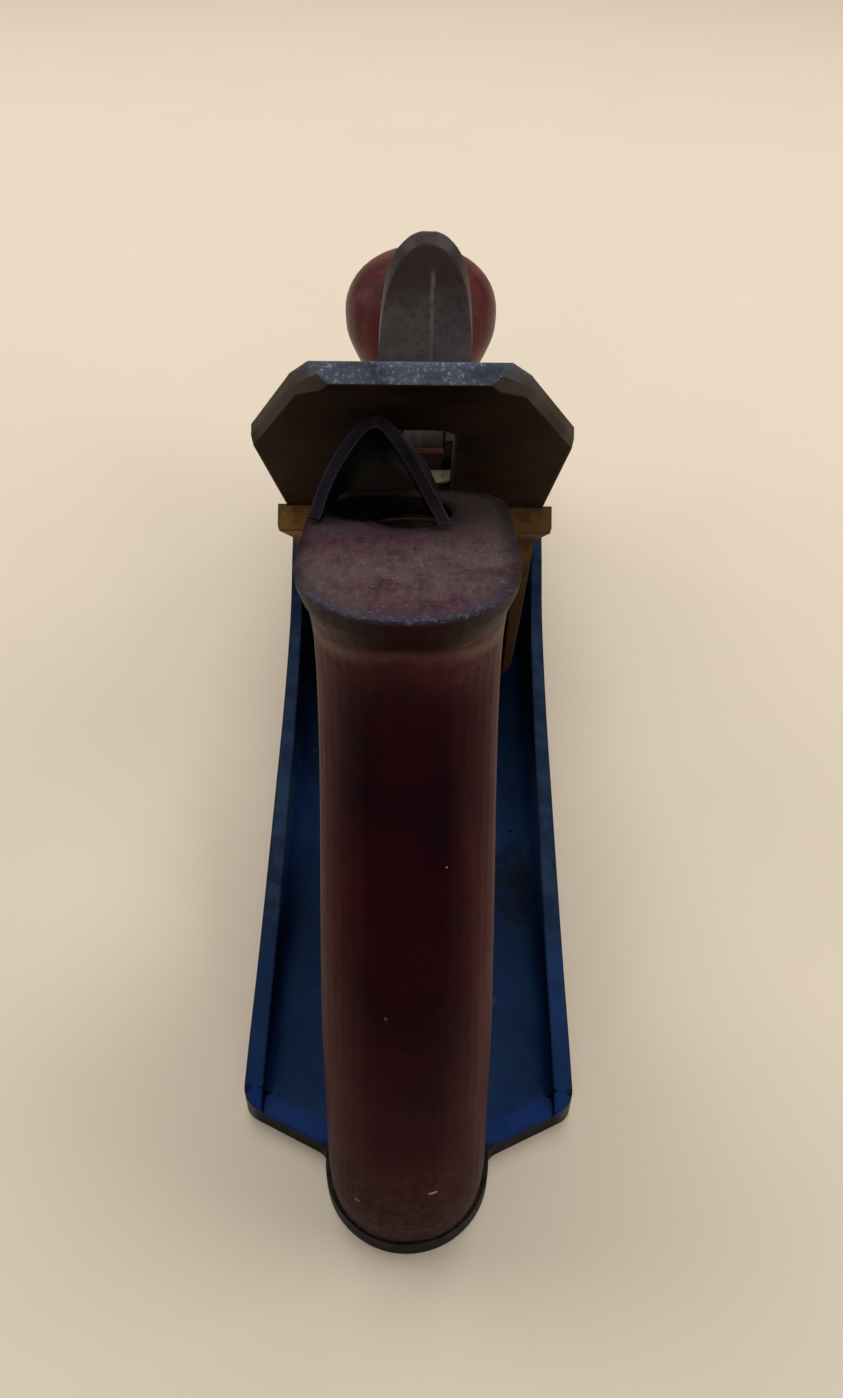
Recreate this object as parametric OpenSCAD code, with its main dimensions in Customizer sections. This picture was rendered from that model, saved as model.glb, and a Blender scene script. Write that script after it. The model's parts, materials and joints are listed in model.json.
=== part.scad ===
// Smoothing plane with a cast body, an adjustable frog and a double iron.
// +Y points to the toe, +X to the right hand seen from behind, +Z up.
// The origin lies in the sole plane, in the middle of the body.

/* [Body casting] */
// Length of the body from the end of the tongue to the toe
body_l = 241.2; // [236:0.2:250]
// Width of the body across its side walls
body_w = 55.6; // [55:0.2:62]
// Length of the sole ahead of the line where the bed meets the sole
toe_l = 70; // [68:0.5:76]
// Thickness of the floor of the body
sole_t = 2.7; // [2.2:0.1:3.2]
// Thickness of the body along the heel and under the tote
heel_t = 3.6; // [3.3:0.1:4.2]
// Height of the lip along the toe
toe_t = 4.2; // [3.6:0.1:5]
// Greatest height of the side walls
wall_h = 45.5; // [42:0.5:50]
// Thickness of a side wall at the floor
wall_t = 3.3; // [3:0.1:3.8]
// Thickness of a side wall at its highest point
wall_top_t = 2; // [1.6:0.1:2.6]
// Distance of the highest point of the walls behind the bed line
wall_peak = 19; // [15:0.5:24]
// Width of the tongue at the heel
tongue_w = 26.4; // [25.6:0.2:28]
// Length of the tongue behind the heel corners
tongue_l = 22.6; // [20.5:0.2:25]
// Angle of the slanted heel edges
heel_a = 26.5; // [20:0.5:30]
// Radius of the heel corners
heel_r = 3.6; // [3:0.2:7]
// Width of the ramp inside the heel and toe edges
ramp_w = 8; // [5:0.5:10]
// Opening of the mouth ahead of the bed line
mouth_front = 4.6; // [4.4:0.1:5.4]
// Opening of the mouth behind the bed line
mouth_back = 2.4; // [2.2:0.1:3.2]

/* [Double iron] */
// Width of the iron
iron_w = 44.5; // [43:0.1:45.2]
// Thickness of the iron
iron_t = 2.4; // [2:0.1:2.8]
// Height of the shoulders of the iron up the bed
shoulder_s = 146.6; // [144:0.1:150]
// Height of the top of the iron up the bed
iron_top_s = 171.8; // [168.4:0.1:174]
// Width of the hammered top edge
iron_top_w = 21.6; // [20:0.2:26]
// Thickness of the hammered top end
iron_head_t = 3.4; // [2.8:0.1:3.6]
// Width of the chamfer round the back of the head of the iron
iron_rim = 0.8; // [0.5:0.1:1.3]
// Width of the long slot of the iron
slot_w = 11.6; // [11:0.1:11.8]
// Height of the upper end of the slot up the bed
slot_top_s = 152.5; // [147:0.5:154]
// Height of the cutting edge above the sole
edge_up = 0.15; // [0.05:0.05:0.3]
// Thickness of the cap iron
cap_iron_t = 2; // [1.7:0.1:2.3]
// Height of the top of the cap iron up the bed
cap_iron_top_s = 114.5; // [112:0.5:119]
// Height of the hump of the cap iron above the iron
hump_h = 5; // [4.4:0.1:5.6]

/* [Frog] */
// Width of the frog across its ears
ear_w = 47.4; // [46:0.2:50]
// Width of the frog below its ears
frog_w = 42.4; // [41:0.2:43.6]
// Width of the frog at its foot
frog_foot_w = 35; // [34:0.2:37]
// Height of the top of the frog up the bed
frog_top_s = 107.5; // [106.5:0.1:110]
// Thickness of the face plate
plate_t = 4.8; // [4.4:0.1:5.4]
// Thickness of the side webs
web_t = 3; // [2.4:0.1:3.6]
// Height of the seat that carries the frog
seat_z = 13; // [12.4:0.1:13.4]
// Diameter of the heads of the frog screws
frog_head_d = 10.4; // [9.6:0.1:11]
// Diameter of the shanks of the frog screws
frog_screw_d = 5.6; // [5:0.1:6]

/* [Depth adjuster] */
// Diameter of the depth wheel
wheel_d = 27; // [25:0.2:28.6]
// Thickness of the depth wheel
wheel_t = 8; // [6:0.2:9]
// Number of ridges round the depth wheel
wheel_ridges = 64; // [40:1:80]
// Diameter of the adjusting stud
stud_d = 7.1; // [6.4:0.1:7.6]
// Diameter of the flanges of the grooved hub
hub_d = 13; // [12:0.1:13.6]
// Width of the groove of the hub
groove_w = 4.4; // [4.2:0.1:4.8]
// Length of the upper arm of the yoke
yoke_up = 12.4; // [12:0.1:13]
// Length of the lower arm of the yoke
yoke_down = 17; // [16.4:0.1:17.6]

/* [Lateral adjuster] */
// Thickness of the sheet of the lateral lever
lever_t = 1.5; // [1.2:0.1:1.7]
// Width of the arm of the lateral lever
lever_w = 12; // [10:0.2:13]
// Swing of the lever to the left at rest
lever_swing = 4; // [2:0.2:6]
// Width of the folded finger piece across its feet
finger_w = 17.4; // [16.6:0.1:18]
// Depth of the finger piece at its longer, right foot
finger_h = 13.3; // [12.4:0.1:13.6]
// Length of the finger piece
finger_l = 21; // [18:0.5:23]
// Height of the end of the finger piece up the bed
finger_top_s = 165.2; // [164.4:0.1:167.2]
// Diameter of the roller disc in the slot of the iron
disc_d = 8.8; // [8.2:0.1:9]

/* [Lever cap] */
// Width of the lever cap at its lip
lever_cap_w = 44; // [42:0.2:45]
// Width of the lever cap at its top
lever_cap_top_w = 37; // [34:0.2:40]
// Height of the top of the lever cap up the bed
lever_cap_top_s = 125; // [123.5:0.5:128]
// Thickness of the web of the lever cap
lever_cap_t = 3; // [2.6:0.1:3.4]
// Sideways turn of the lever cap about its screw
lever_cap_turn = 1.1; // [0:0.1:1.6]
// Height of the lever cap screw up the bed
cap_screw_s = 50; // [49:0.1:50.6]
// Diameter of the lever cap screw
cap_screw_d = 6.4; // [6:0.1:6.8]
// Diameter of the head of the lever cap screw
cap_head_d = 12; // [11:0.1:12.6]
// Width of the cam lever
cam_w = 14; // [12:0.1:14.4]
// Width of the hub of the cam lever between its bosses
cam_hub_w = 6.4; // [6:0.1:8]
// Length of the cam lever from its pin to its tip
cam_l = 37.5; // [35:0.1:40]
// Diameter of the cam pin
cam_pin_d = 3.2; // [2.8:0.1:3.6]

/* [Tote and knob] */
// Thickness of the tote at its foot
tote_t = 24.6; // [23.4:0.1:25]
// Height of the middle of the top facet of the tote
tote_h = 105.8; // [104.8:0.1:106]
// Slope of the top facet of the tote, falling to the front
tote_top_a = 11.3; // [10:0.1:12.5]
// Distance of the middle of the top facet ahead of the end of the tongue
tote_back = 42.2; // [41.8:0.1:43]
// Lean of the tote rod from the vertical
tote_lean = 17.3; // [16.8:0.1:17.8]
// Diameter of the rods of the tote and knob
rod_d = 5.5; // [5:0.1:6]
// Diameter of the round nuts
nut_d = 9.8; // [9:0.1:10.4]
// Diameter of the knob
knob_d = 38.6; // [36:0.2:40]
// Height of the top of the knob
knob_top = 77.4; // [72:0.2:80]
// Height of the middle of the bulb of the knob
knob_mid = 62.6; // [60:0.2:64]
// Distance of the knob ahead of the bed line
knob_y = 36; // [35:0.5:40]

/* [Hidden] */
$fn = 48;

// Angle of the bed above the sole
bed_a = 45;
// Gap between pieces that slide or rest on each other
slip = 0.05;
// Radial gap of a running fit
run = 0.08;
// Gap between a piece and the opening that it passes through
clear = 0.3;
// Overlap that joins solids of one piece
eps = 0.2;

// Places along the body, from the bed line
mouth_y = body_l / 2 - toe_l;
toe_y = body_l / 2;
tongue_y = -body_l / 2;
heel_y = tongue_y + tongue_l;
half_w = body_w / 2;

// Points of the bed plane: s runs up the bed, n runs behind it
function bed_y(s, n) = mouth_y - s * cos(bed_a) - n * sin(bed_a);
function bed_z(s, n) = s * sin(bed_a) - n * cos(bed_a);

// Point of a smooth curve between b and c, with neighbours a and d
function curve_at(a, b, c, d, t) =
    0.5 * (2 * b + (c - a) * t + (2 * a - 5 * b + 4 * c - d) * t * t
    + (3 * b - a - 3 * c + d) * t * t * t);

// Smooth curve through all the points of p, with n steps between two of them
function curve(p, n) = concat(
    [for (i = [0 : len(p) - 2]) for (j = [0 : n - 1])
        curve_at(p[max(i - 1, 0)], p[i], p[i + 1], p[min(i + 2, len(p) - 1)], j / n)],
    [p[len(p) - 1]]);

// Arc about the point c from angle a0 to a1
function arc(c, r, a0, a1, n) =
    [for (i = [0 : n]) c + r * [cos(a0 + (a1 - a0) * i / n), sin(a0 + (a1 - a0) * i / n)]];

// Right half of an outline joined with its mirror image
function both_sides(p) = concat(p, [for (i = [len(p) - 1 : -1 : 0]) [-p[i][0], p[i][1]]]);

// Line beside the line p, at the distance t on its left
function beside(p, t) = [for (i = [0 : len(p) - 1])
    let (d = p[min(i + 1, len(p) - 1)] - p[max(i - 1, 0)]) p[i] + t * [-d[1], d[0]] / norm(d)];

// Points that follow one after another from a list, turned round
function turned(p) = [for (i = [len(p) - 1 : -1 : 0]) p[i]];

// Local frame of the bed: X to the right, Y up the bed, Z behind the bed
module on_bed() {
    translate([0, mouth_y, 0]) rotate([180 - bed_a, 0, 0]) children();
}

// Solid from a side view drawn in Y and Z, w wide about the middle plane
module side_view(points, w) {
    rotate([90, 0, 90]) translate([0, 0, -w / 2]) linear_extrude(w) polygon(points);
}

// Solid from a front view drawn in X and Z, between y0 and y1
module front_view(points, y0, y1) {
    translate([0, y1, 0]) rotate([90, 0, 0]) linear_extrude(y1 - y0) polygon(points);
}

// Bed piece from a side view drawn in s and n, w wide about the middle plane
module bed_profile(points, w) {
    rotate([90, 0, 90]) translate([0, 0, -w / 2]) linear_extrude(w) polygon(points);
}

// Cylinder between two heights
module post(d, z0, z1) {
    translate([0, 0, z0]) cylinder(d = d, h = z1 - z0);
}

// Cylinder along Y at the point [x, z], between y0 and y1
module bar_y(x, z, d, y0, y1) {
    translate([x, y1, z]) rotate([90, 0, 0]) cylinder(d = d, h = y1 - y0);
}

// Cylinder along X, w long about the middle plane, through the point [y, z]
module bar_x(y, z, d, w) {
    translate([-w / 2, y, z]) rotate([0, 90, 0]) cylinder(d = d, h = w);
}

// Block w wide about the middle plane, between two corners in Y and Z
module block(w, y0, y1, z0, z1) {
    translate([-w / 2, y0, z0]) cube([w, y1 - y0, z1 - z0]);
}

// Upright slot with round ends, l longer than wide along Y
module long_hole(d, l, z0, z1) {
    for (k = [-1, 1]) translate([0, k * l / 2, 0]) post(d, z0, z1);
    block(d, -l / 2, l / 2, z0, z1);
}

// Round head with a slot for a screwdriver, standing on z = 0
module slotted_head(d, h, slot) {
    dome = h * 0.3;
    difference() {
        rotate_extrude() polygon(concat(
            [[0, 0], [d / 2, 0], [d / 2, h - dome]],
            [for (i = [1 : 5]) [d / 2 * cos(90 * i / 5), h - dome + dome * sin(90 * i / 5)]]));
        translate([-d, -slot / 2, h * 0.5]) cube([2 * d, slot, h]);
    }
}

// The cast body

// Corner of the slanted heel edge and of the tongue
heel_c = [half_w - heel_r, heel_y + heel_r * (1 - sin(heel_a)) / cos(heel_a)];
root_r = 2.4;
root_dx = tongue_w / 2 + root_r - half_w;
root_c = [tongue_w / 2 + root_r, heel_y + (root_dx * sin(heel_a) - root_r) / cos(heel_a)];
toe_arc_r = 90;
toe_corner = 4;
toe_in = sqrt(pow(toe_arc_r - toe_corner, 2) - pow(half_w - toe_corner, 2));
toe_c = [half_w - toe_corner, toe_y - toe_arc_r + toe_in];
toe_turn = atan2(toe_in, half_w - toe_corner);

outline_half = concat(
    arc([0, toe_y - toe_arc_r], toe_arc_r, 90, toe_turn, 8),
    arc(toe_c, toe_corner, toe_turn, 0, 6),
    arc(heel_c, heel_r, 0, heel_a - 90, 8),
    arc(root_c, root_r, 90 + heel_a, 180, 6),
    arc([0, tongue_y + tongue_w / 2], tongue_w / 2, 0, -90, 16));

// Height of the walls as shares of the length behind and ahead of the peak
wall_end = 0.115;
rear_wall = [[0, 1], [0.055, 0.965], [0.13, 0.85], [0.2, 0.68], [0.27, 0.575], [0.4, 0.45],
    [0.56, 0.35], [0.7, 0.265], [0.82, 0.2], [0.93, 0.155], [1, wall_end]];
front_wall = [[0, 1], [0.09, 0.985], [0.18, 0.9], [0.28, 0.73], [0.4, 0.5], [0.54, 0.33],
    [0.7, 0.23], [0.86, 0.165], [1, wall_end]];
peak_y = mouth_y - wall_peak;
rear_l = peak_y - heel_y - 1;
front_l = toe_y - peak_y;
wall_top = concat(
    turned([for (p = curve(rear_wall, 5)) [peak_y - p[0] * rear_l, p[1] * wall_h]]),
    [for (p = curve(front_wall, 5)) [peak_y + p[0] * front_l, p[1] * wall_h]]);

// Inner face of the walls at the floor and at their greatest height
inner_low = half_w - wall_t;
inner_high = half_w - wall_top_t;
floor_r = 3;

// Frog seat
pad_z = 5.6;
pad_y0 = mouth_y - 13;
pad_y1 = mouth_y - 1;
seat_y0 = mouth_y - 46;
seat_y1 = mouth_y - 20;
seat_w = 34;
screw_y = mouth_y - 30;
screw_x = 11;
key_w = 5;
key_d = 2.2;
adjust_z = 7.2;
adjust_d = 5.2;

// Seats of the tote and knob
facet_y = tongue_y + tote_back;
nut_ahead = 6.7;
nut_y = facet_y + nut_ahead;
nut_top_z = tote_h - nut_ahead * tan(tote_top_a);
tote_foot_y = nut_y - (nut_top_z - heel_t) * tan(tote_lean);
knob_pad_z = sole_t + 3;
knob_pad_d = 30;
tote_pad_w = 20;
tote_front_y = facet_y + 41;
nib_back = 12;
rod_boss_d = 10.4;
rod_boss_h = 5;
nib_d = 6;
nib_l = 5;
nib_h = 2.4;

// Rib ahead of the mouth, and the bars of the frog seat
rib_y = mouth_y + mouth_front + 4;
rib_t = 3.5;
rib_h = 3;
seat_rib_w = 5;

// Height inside the floor at which bosses, pads and ribs start
root_z = 1;

module body_outline(z0, z1) {
    translate([0, 0, z0]) linear_extrude(z1 - z0) polygon(both_sides(outline_half));
}

module body_shell() {
    intersection() {
        body_outline(0, wall_h);
        side_view(concat([[tongue_y - 1, 0], [tongue_y - 1, heel_t], [heel_y - 3, heel_t]],
            wall_top, [[toe_y + 1, wall_end * wall_h], [toe_y + 1, 0]]), body_w + 2);
        front_view([
            [-half_w - 1, 0], [half_w + 1, 0], [half_w + 1, wall_h + 1], [inner_high, wall_h + 1],
            [inner_high, wall_h], [inner_low, sole_t], [-inner_low, sole_t],
            [-inner_high, wall_h], [-inner_high, wall_h + 1], [-half_w - 1, wall_h + 1]],
            tongue_y - 2, toe_y + 2);
    }
}

// Round corner between the floor and the walls
module floor_fillets() {
    lean = (wall_t - wall_top_t) * floor_r / (wall_h - sole_t);
    for (k = [-1, 1])
        intersection() {
            body_outline(0, sole_t + floor_r);
            front_view(concat(
                [[k * (inner_low + 1), sole_t - 1], [k * (inner_low + 1), sole_t + floor_r]],
                [for (i = [0 : 6]) [k * (inner_low + lean - floor_r * (1 - cos(15 * i))),
                    sole_t + floor_r * (1 - sin(15 * i))]],
                [[k * (inner_low - floor_r), sole_t - 1]]), heel_y + 2, toe_y - 3);
        }
}

// Raised heel: the tongue, the strip under the tote and the ramps along the slanted edges
module raised_heel() {
    intersection() {
        body_outline(root_z, heel_t);
        union() {
            for (k = [-1, 1])
                translate([k * half_w, heel_y, 0]) rotate([0, 0, k * heel_a])
                    translate([-body_w / 2, 0, 0]) ramp(body_w, heel_t);
            block(tongue_w + 4, tongue_y - 1, heel_y - tongue_l / 3, root_z, 2 * heel_t);
            block(tote_pad_w, tongue_y, tote_front_y - 4, root_z, 2 * heel_t);
        }
    }
}

module raised_toe() {
    intersection() {
        body_outline(root_z, toe_t);
        translate([-half_w, toe_y, 0]) mirror([0, 1, 0]) ramp(body_w, toe_t);
    }
}

// Wedge along X that reaches the height h a little inside the edge at y = 0
module ramp(l, h) {
    edge = 1.6;
    rise = (h - sole_t) / (ramp_w - edge);
    rotate([90, 0, 90]) linear_extrude(l)
        polygon([[-ramp_w, root_z], [ramp_w, root_z], [ramp_w, sole_t],
            [-ramp_w, sole_t + 2 * ramp_w * rise]]);
}

module frog_seat() {
    block(seat_w, pad_y0, pad_y1, root_z, pad_z);
    block(seat_w, seat_y0, seat_y1, root_z, seat_z);
    for (x = [-1, 0, 1]) translate([x * (seat_w - seat_rib_w) / 2, 0, 0])
        block(seat_rib_w, seat_y1 - eps, pad_y0 + eps, root_z, pad_z - 1);
}

module mouth_cut() {
    w = iron_w + 1.6;
    side_view([
        [mouth_y + mouth_front, -1], [mouth_y + mouth_front, sole_t + 3],
        [mouth_y + mouth_front + 12, 20], [mouth_y - mouth_back + 2 - 20, 20],
        [mouth_y - mouth_back + 1, -1]], w);
}

module body() {
    color("royalblue") difference() {
        union() {
            body_shell();
            floor_fillets();
            raised_heel();
            raised_toe();
            frog_seat();
            translate([0, mouth_y + knob_y, 0]) post(knob_pad_d, root_z, knob_pad_z);
            translate([0, mouth_y + knob_y, 0]) post(rod_boss_d, root_z, knob_pad_z + rod_boss_h);
            translate([0, tote_foot_y, 0]) post(rod_boss_d, root_z, heel_t + rod_boss_h);
            translate([0, tote_front_y - nib_back, 0]) long_hole(nib_d, nib_l, root_z, heel_t + nib_h);
            block(body_w - wall_t, rib_y, rib_y + rib_t, root_z, sole_t + rib_h);
        }
        mouth_cut();
        for (k = [-1, 1]) translate([k * screw_x, screw_y, 0]) post(frog_screw_d, sole_t, seat_z + 1);
        block(key_w, seat_y0 - 1, seat_y1 + 1, seat_z - key_d, seat_z + 1);
        bar_y(0, adjust_z, adjust_d + 2 * run, seat_y0 - 1, seat_y0 + 18);
        translate([0, mouth_y + knob_y, 0]) post(rod_d, sole_t - 1.4, 20);
        tote_axis() post(rod_d, -0.4, 12);
    }
}

// The frog

// Foot of the frog and its rear edges
frog_z = seat_z + slip;
foot_z = pad_z + slip;
base_top = 18;
base_y0 = mouth_y - 50;
step_y = mouth_y - 17.5;
ear_t = 2.7;
rear_edge = [[-75.6, 70], [-74.6, 62], [-71, 46], [-66, 30], [-60, 23], [-50, frog_z]];

// Mechanism places: yoke pin, stud, tip of the yoke
yoke_s = 80;
yoke_n = yoke_up - iron_t - slip - cap_iron_t / 2;
pin_y = bed_y(yoke_s, yoke_n);
pin_z = bed_z(yoke_s, yoke_n);
stud_z = pin_z - yoke_down;
groove_y = pin_y;
pin_d = 3;
lug_w = 16;
yoke_w = 9.4;
yoke_t = 2;
stud_end = groove_y + 11;

// Screw that holds the tab
tab_screw_z = 19.6;
tab_screw_d = 4;

// Lateral lever places
rivet_s = 103;
disc_s = 93.5;
lever_n = 0.75;
lever_room = 2.6;
rivet_d = 4.4;
rivet_head_h = 0.5;
disc_pin_d = 3.4;

// Cap iron screw
iron_screw_s = 66;
iron_screw_d = 8;
iron_head_d = 14.4;
iron_head_h = 3.2;
feed_down = 0.5;
feed_up = 2;

module frog_front() {
    z_top = bed_z(frog_top_s, 0) + 1;
    z_ear = bed_z(frog_top_s, 0) - ear_t;
    front_view(both_sides([
        [ear_w / 2, z_top], [ear_w / 2, z_ear], [frog_w / 2, z_ear - 6],
        [frog_w / 2 - 1.4, 32], [frog_foot_w / 2, frog_z], [frog_foot_w / 2, foot_z]]),
        mouth_y - 100, mouth_y);
}

module frog_side(points, w) {
    side_view([for (p = points) [mouth_y + p[0], p[1]]], w);
}

module frog_solid() {
    face = [[bed_y(frog_top_s, 0) - mouth_y, bed_z(frog_top_s, 0)], [-foot_z, foot_z]];
    on_bed() block(ear_w, 0, frog_top_s, 0, plate_t);
    difference() {
        frog_side(concat(face, [[-14, foot_z], [-17.5, frog_z]], turned(rear_edge)), ear_w);
        frog_hollow();
    }
}

// Hollow between the side webs, open to the rear
module frog_hollow() {
    top_n = plate_t;
    frog_side([
        [bed_y(frog_top_s + 9, top_n) - mouth_y, bed_z(frog_top_s + 9, top_n)],
        [bed_y(38, top_n) - mouth_y, bed_z(38, top_n)],
        [-31, base_top], [base_y0 - mouth_y, base_top], [base_y0 - mouth_y, 0], [-100, 0]],
        frog_w - 2 * web_t);
}

module frog_lugs() {
    on_bed() difference() {
        bed_profile([[yoke_s - 7, plate_t - eps], [yoke_s + 7, plate_t - eps],
            [yoke_s + 4, yoke_n + 3], [yoke_s - 4, yoke_n + 3]], lug_w);
        block(yoke_w + 2 * clear, yoke_s - 8, yoke_s + 8, 0, yoke_n + 5);
    }
}

module frog_bosses() {
    // Boss behind the face plate that takes the adjusting stud
    intersection() {
        frog_side([[-stud_z - 2, stud_z + 7], [-stud_z - 2, base_top - 1],
            [-48, base_top - 1], [-50.5, stud_z - 6], [-50.5, stud_z + 5], [-stud_z - 14, stud_z + 9]], 13);
        on_bed() block(40, 0, 200, plate_t - eps, 100);
    }
    // Boss behind the face plate that takes the lever cap screw
    on_bed() translate([0, cap_screw_s, 0]) post(11, plate_t - eps, 11);
    // Rear boss that carries the tab
    block(14, base_y0, base_y0 + 9, frog_z, 25);
}

module frog_cuts() {
    on_bed() {
        // Pocket for the head of the cap iron screw
        block(iron_head_d + 2.6, iron_screw_s - feed_down - iron_head_d / 2 - 0.8,
            iron_screw_s + feed_up + iron_head_d / 2 + 0.8, -1, iron_head_h + 0.8);
        // Slot for the yoke
        block(yoke_w - 2.2, yoke_s - 4.6, yoke_s + 5.4, -1, yoke_n);
        // Recess for the lateral lever
        block(26, disc_s - 7, frog_top_s + 1, -1, lever_room);
        // Rivet of the lateral lever
        translate([0, rivet_s, 0]) post(rivet_d, 0, plate_t + 1);
        // Lever cap screw
        translate([0, cap_screw_s, 0]) post(cap_screw_d, -1, 10);
    }
    // Frog screws, with room for the slide of the frog
    for (k = [-1, 1]) translate([k * screw_x, screw_y, 0]) {
        long_hole(frog_screw_d + 0.8, 3.4, frog_z - 1, base_top + 1);
        long_hole(frog_head_d + 2.4, 2.6, base_top, 60);
    }
    // Yoke pin
    bar_x(pin_y, pin_z, pin_d, lug_w + 2);
    // Adjusting stud
    bar_y(0, stud_z, stud_d, stud_end - eps, stud_end + 12);
    // Screw of the tab
    bar_y(0, tab_screw_z, tab_screw_d, base_y0 - 1, base_y0 + 7);
    // Room for the key of the seat
    block(ear_w, seat_y1, seat_y1 + 2.5, 0, frog_z);
}

module frog() {
    color("darkgoldenrod") difference() {
        union() {
            intersection() {
                frog_front();
                union() {
                    frog_solid();
                    frog_lugs();
                    frog_bosses();
                }
            }
            block(key_w - 2 * clear, base_y0 + 2, seat_y1 - 1, frog_z - key_d + clear, frog_z + eps);
        }
        frog_cuts();
        on_bed() block(2 * ear_w, -10, frog_top_s + 5, -50, slip);
    }
}

washer_t = 1;
head_h = 3.1;

module frog_screws() {
    color("dimgray") for (k = [-1, 1]) translate([k * screw_x, screw_y, 0]) {
        translate([0, 0, base_top + washer_t]) slotted_head(frog_head_d, head_h, 1.4);
        post(frog_screw_d, sole_t + 1, base_top + washer_t + eps);
    }
}

module frog_washers() {
    color("gray") for (k = [-1, 1]) translate([k * screw_x, screw_y, 0]) difference() {
        post(frog_head_d + 1, base_top + slip, base_top + washer_t);
        post(frog_screw_d + 0.2, base_top - 1, base_top + washer_t + 1);
    }
}

// Frog adjusting screw and its tab

tab_t = 1.8;
tab_y1 = base_y0 - slip;
tab_y0 = tab_y1 - tab_t;
neck_d = 4;
collar_d = 8;

module frog_adjusting_screw() {
    color("dimgray") {
        bar_y(0, adjust_z, adjust_d, tab_y1 + clear, seat_y0 + 14);
        bar_y(0, adjust_z, collar_d, tab_y1 + clear, tab_y1 + clear + 1.2);
        bar_y(0, adjust_z, neck_d, tab_y0 - clear - eps, tab_y1 + clear + eps);
        translate([0, tab_y0 - clear, adjust_z]) rotate([90, 0, 0]) slotted_head(collar_d, 5.4, 1.2);
    }
}

module frog_tab() {
    color("darkgray") difference() {
        union() {
            block(11, tab_y0, tab_y1, adjust_z, tab_screw_z + 4.6);
            block(9.6, tab_y0, tab_y1, adjust_z - 3.4, adjust_z + eps);
        }
        bar_y(0, adjust_z, neck_d + 2 * clear, tab_y0 - 1, tab_y1 + 1);
        block(neck_d + 2 * clear, tab_y0 - 1, tab_y1 + 1, adjust_z - 10, adjust_z);
        bar_y(0, tab_screw_z, tab_screw_d + 2 * run, tab_y0 - 1, tab_y1 + 1);
    }
}

module frog_tab_screw() {
    color("dimgray") {
        bar_y(0, tab_screw_z, tab_screw_d, tab_y0 - eps, base_y0 + 6);
        translate([0, tab_y0, tab_screw_z]) rotate([90, 0, 0]) slotted_head(7.4, 2.4, 1.1);
    }
}

// Depth adjuster

flange_t = 1.8;
rear_flange_t = 2.8;
hub_core_d = stud_d + 2;
hub_front = groove_y + groove_w / 2 + flange_t;
hub_back = groove_y - groove_w / 2 - rear_flange_t;
nose_d = groove_w - 2 * clear;

module yoke_pin() {
    color("gray") bar_x(pin_y, pin_z, pin_d, lug_w);
}

module yoke() {
    tip_n = -(iron_t + slip + cap_iron_t / 2);
    fork_in = hub_core_d / 2 + clear;
    color("dimgray") difference() {
        union() {
            // Eye on the pin
            bar_x(pin_y, pin_z, 7, yoke_w);
            // Upper arm with its round nose in the slot of the cap iron
            on_bed() {
                block(6, yoke_s - 1.5, yoke_s + 1.5, tip_n, yoke_n);
                translate([-3, yoke_s, tip_n]) rotate([0, 90, 0]) cylinder(d = 3.5, h = 6);
            }
            // Lower arm that widens to the fork
            block(yoke_w, pin_y - yoke_t / 2, pin_y + yoke_t / 2, stud_z + hub_d / 2, pin_z);
            for (k = [-1, 1]) translate([k * (fork_in + 1.5), 0, 0]) {
                block(3, pin_y - yoke_t / 2, pin_y + yoke_t / 2, stud_z, stud_z + hub_d / 2 + 2);
                bar_x(pin_y, stud_z, nose_d, 3);
            }
            block(2 * fork_in + 6, pin_y - yoke_t / 2, pin_y + yoke_t / 2,
                stud_z + fork_in, stud_z + hub_d / 2 + 2.4);
        }
        bar_x(pin_y, pin_z, pin_d + 2 * run, 20);
        bar_y(0, stud_z, 2 * fork_in, pin_y - 5, pin_y + 5);
    }
}

module adjusting_stud() {
    color("gray") bar_y(0, stud_z, stud_d, hub_back - wheel_t - 4.5, stud_end + 6);
}

module depth_hub() {
    color("goldenrod") difference() {
        translate([0, hub_back, stud_z]) rotate([-90, 0, 0]) rotate_extrude() polygon([
            [0, 0], [hub_d / 2, 0], [hub_d / 2, rear_flange_t],
            [hub_core_d / 2, rear_flange_t], [hub_core_d / 2, rear_flange_t + groove_w],
            [hub_d / 2, rear_flange_t + groove_w], [hub_d / 2, rear_flange_t + groove_w + flange_t - 0.5],
            [hub_d / 2 - 0.5, rear_flange_t + groove_w + flange_t],
            [0, rear_flange_t + groove_w + flange_t]]);
        bar_y(0, stud_z, stud_d + 2 * run, hub_back - 1, hub_front + 1);
    }
}

// Depth of the ridges, and how far the ridged band stands proud of the wheel
ridge_h = 0.35;
band_h = 0.5;

// Band of ridges round the wheel
module ridged_band(d, z0, z1, ridges) {
    translate([0, 0, z0]) linear_extrude(z1 - z0) polygon([for (i = [0 : 2 * ridges - 1])
        (d / 2 - (i % 2) * ridge_h) * [cos(180 * i / ridges), sin(180 * i / ridges)]]);
}

module depth_wheel() {
    lip = 1.1;
    rim = wheel_d / 2 - band_h;
    color("gold") translate([0, hub_back - slip, stud_z]) rotate([90, 0, 0]) difference() {
        union() {
            rotate_extrude() polygon([[0, 0], [rim - lip, 0], [rim, lip],
                [rim, wheel_t - lip], [rim - lip, wheel_t], [0, wheel_t]]);
            ridged_band(wheel_d, lip, wheel_t - lip, wheel_ridges);
            post(12, wheel_t - eps, wheel_t + 1.2);
        }
        // Turned recess in the rear face
        difference() {
            post(wheel_d - 6, wheel_t - 1.4, wheel_t + 5);
            post(12, wheel_t - 2, wheel_t + 6);
        }
        post(stud_d + 2 * run, -1, wheel_t + 5);
    }
}

// Lateral lever

arm_s0 = disc_s - 6;
finger_s0 = finger_top_s - finger_l;
finger_n = lever_n + 1.15;
foot_n = finger_n + finger_h;

module at_lever() {
    on_bed() translate([0, rivet_s, 0]) rotate([0, 0, lever_swing]) translate([0, -rivet_s, 0]) children();
}

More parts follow.
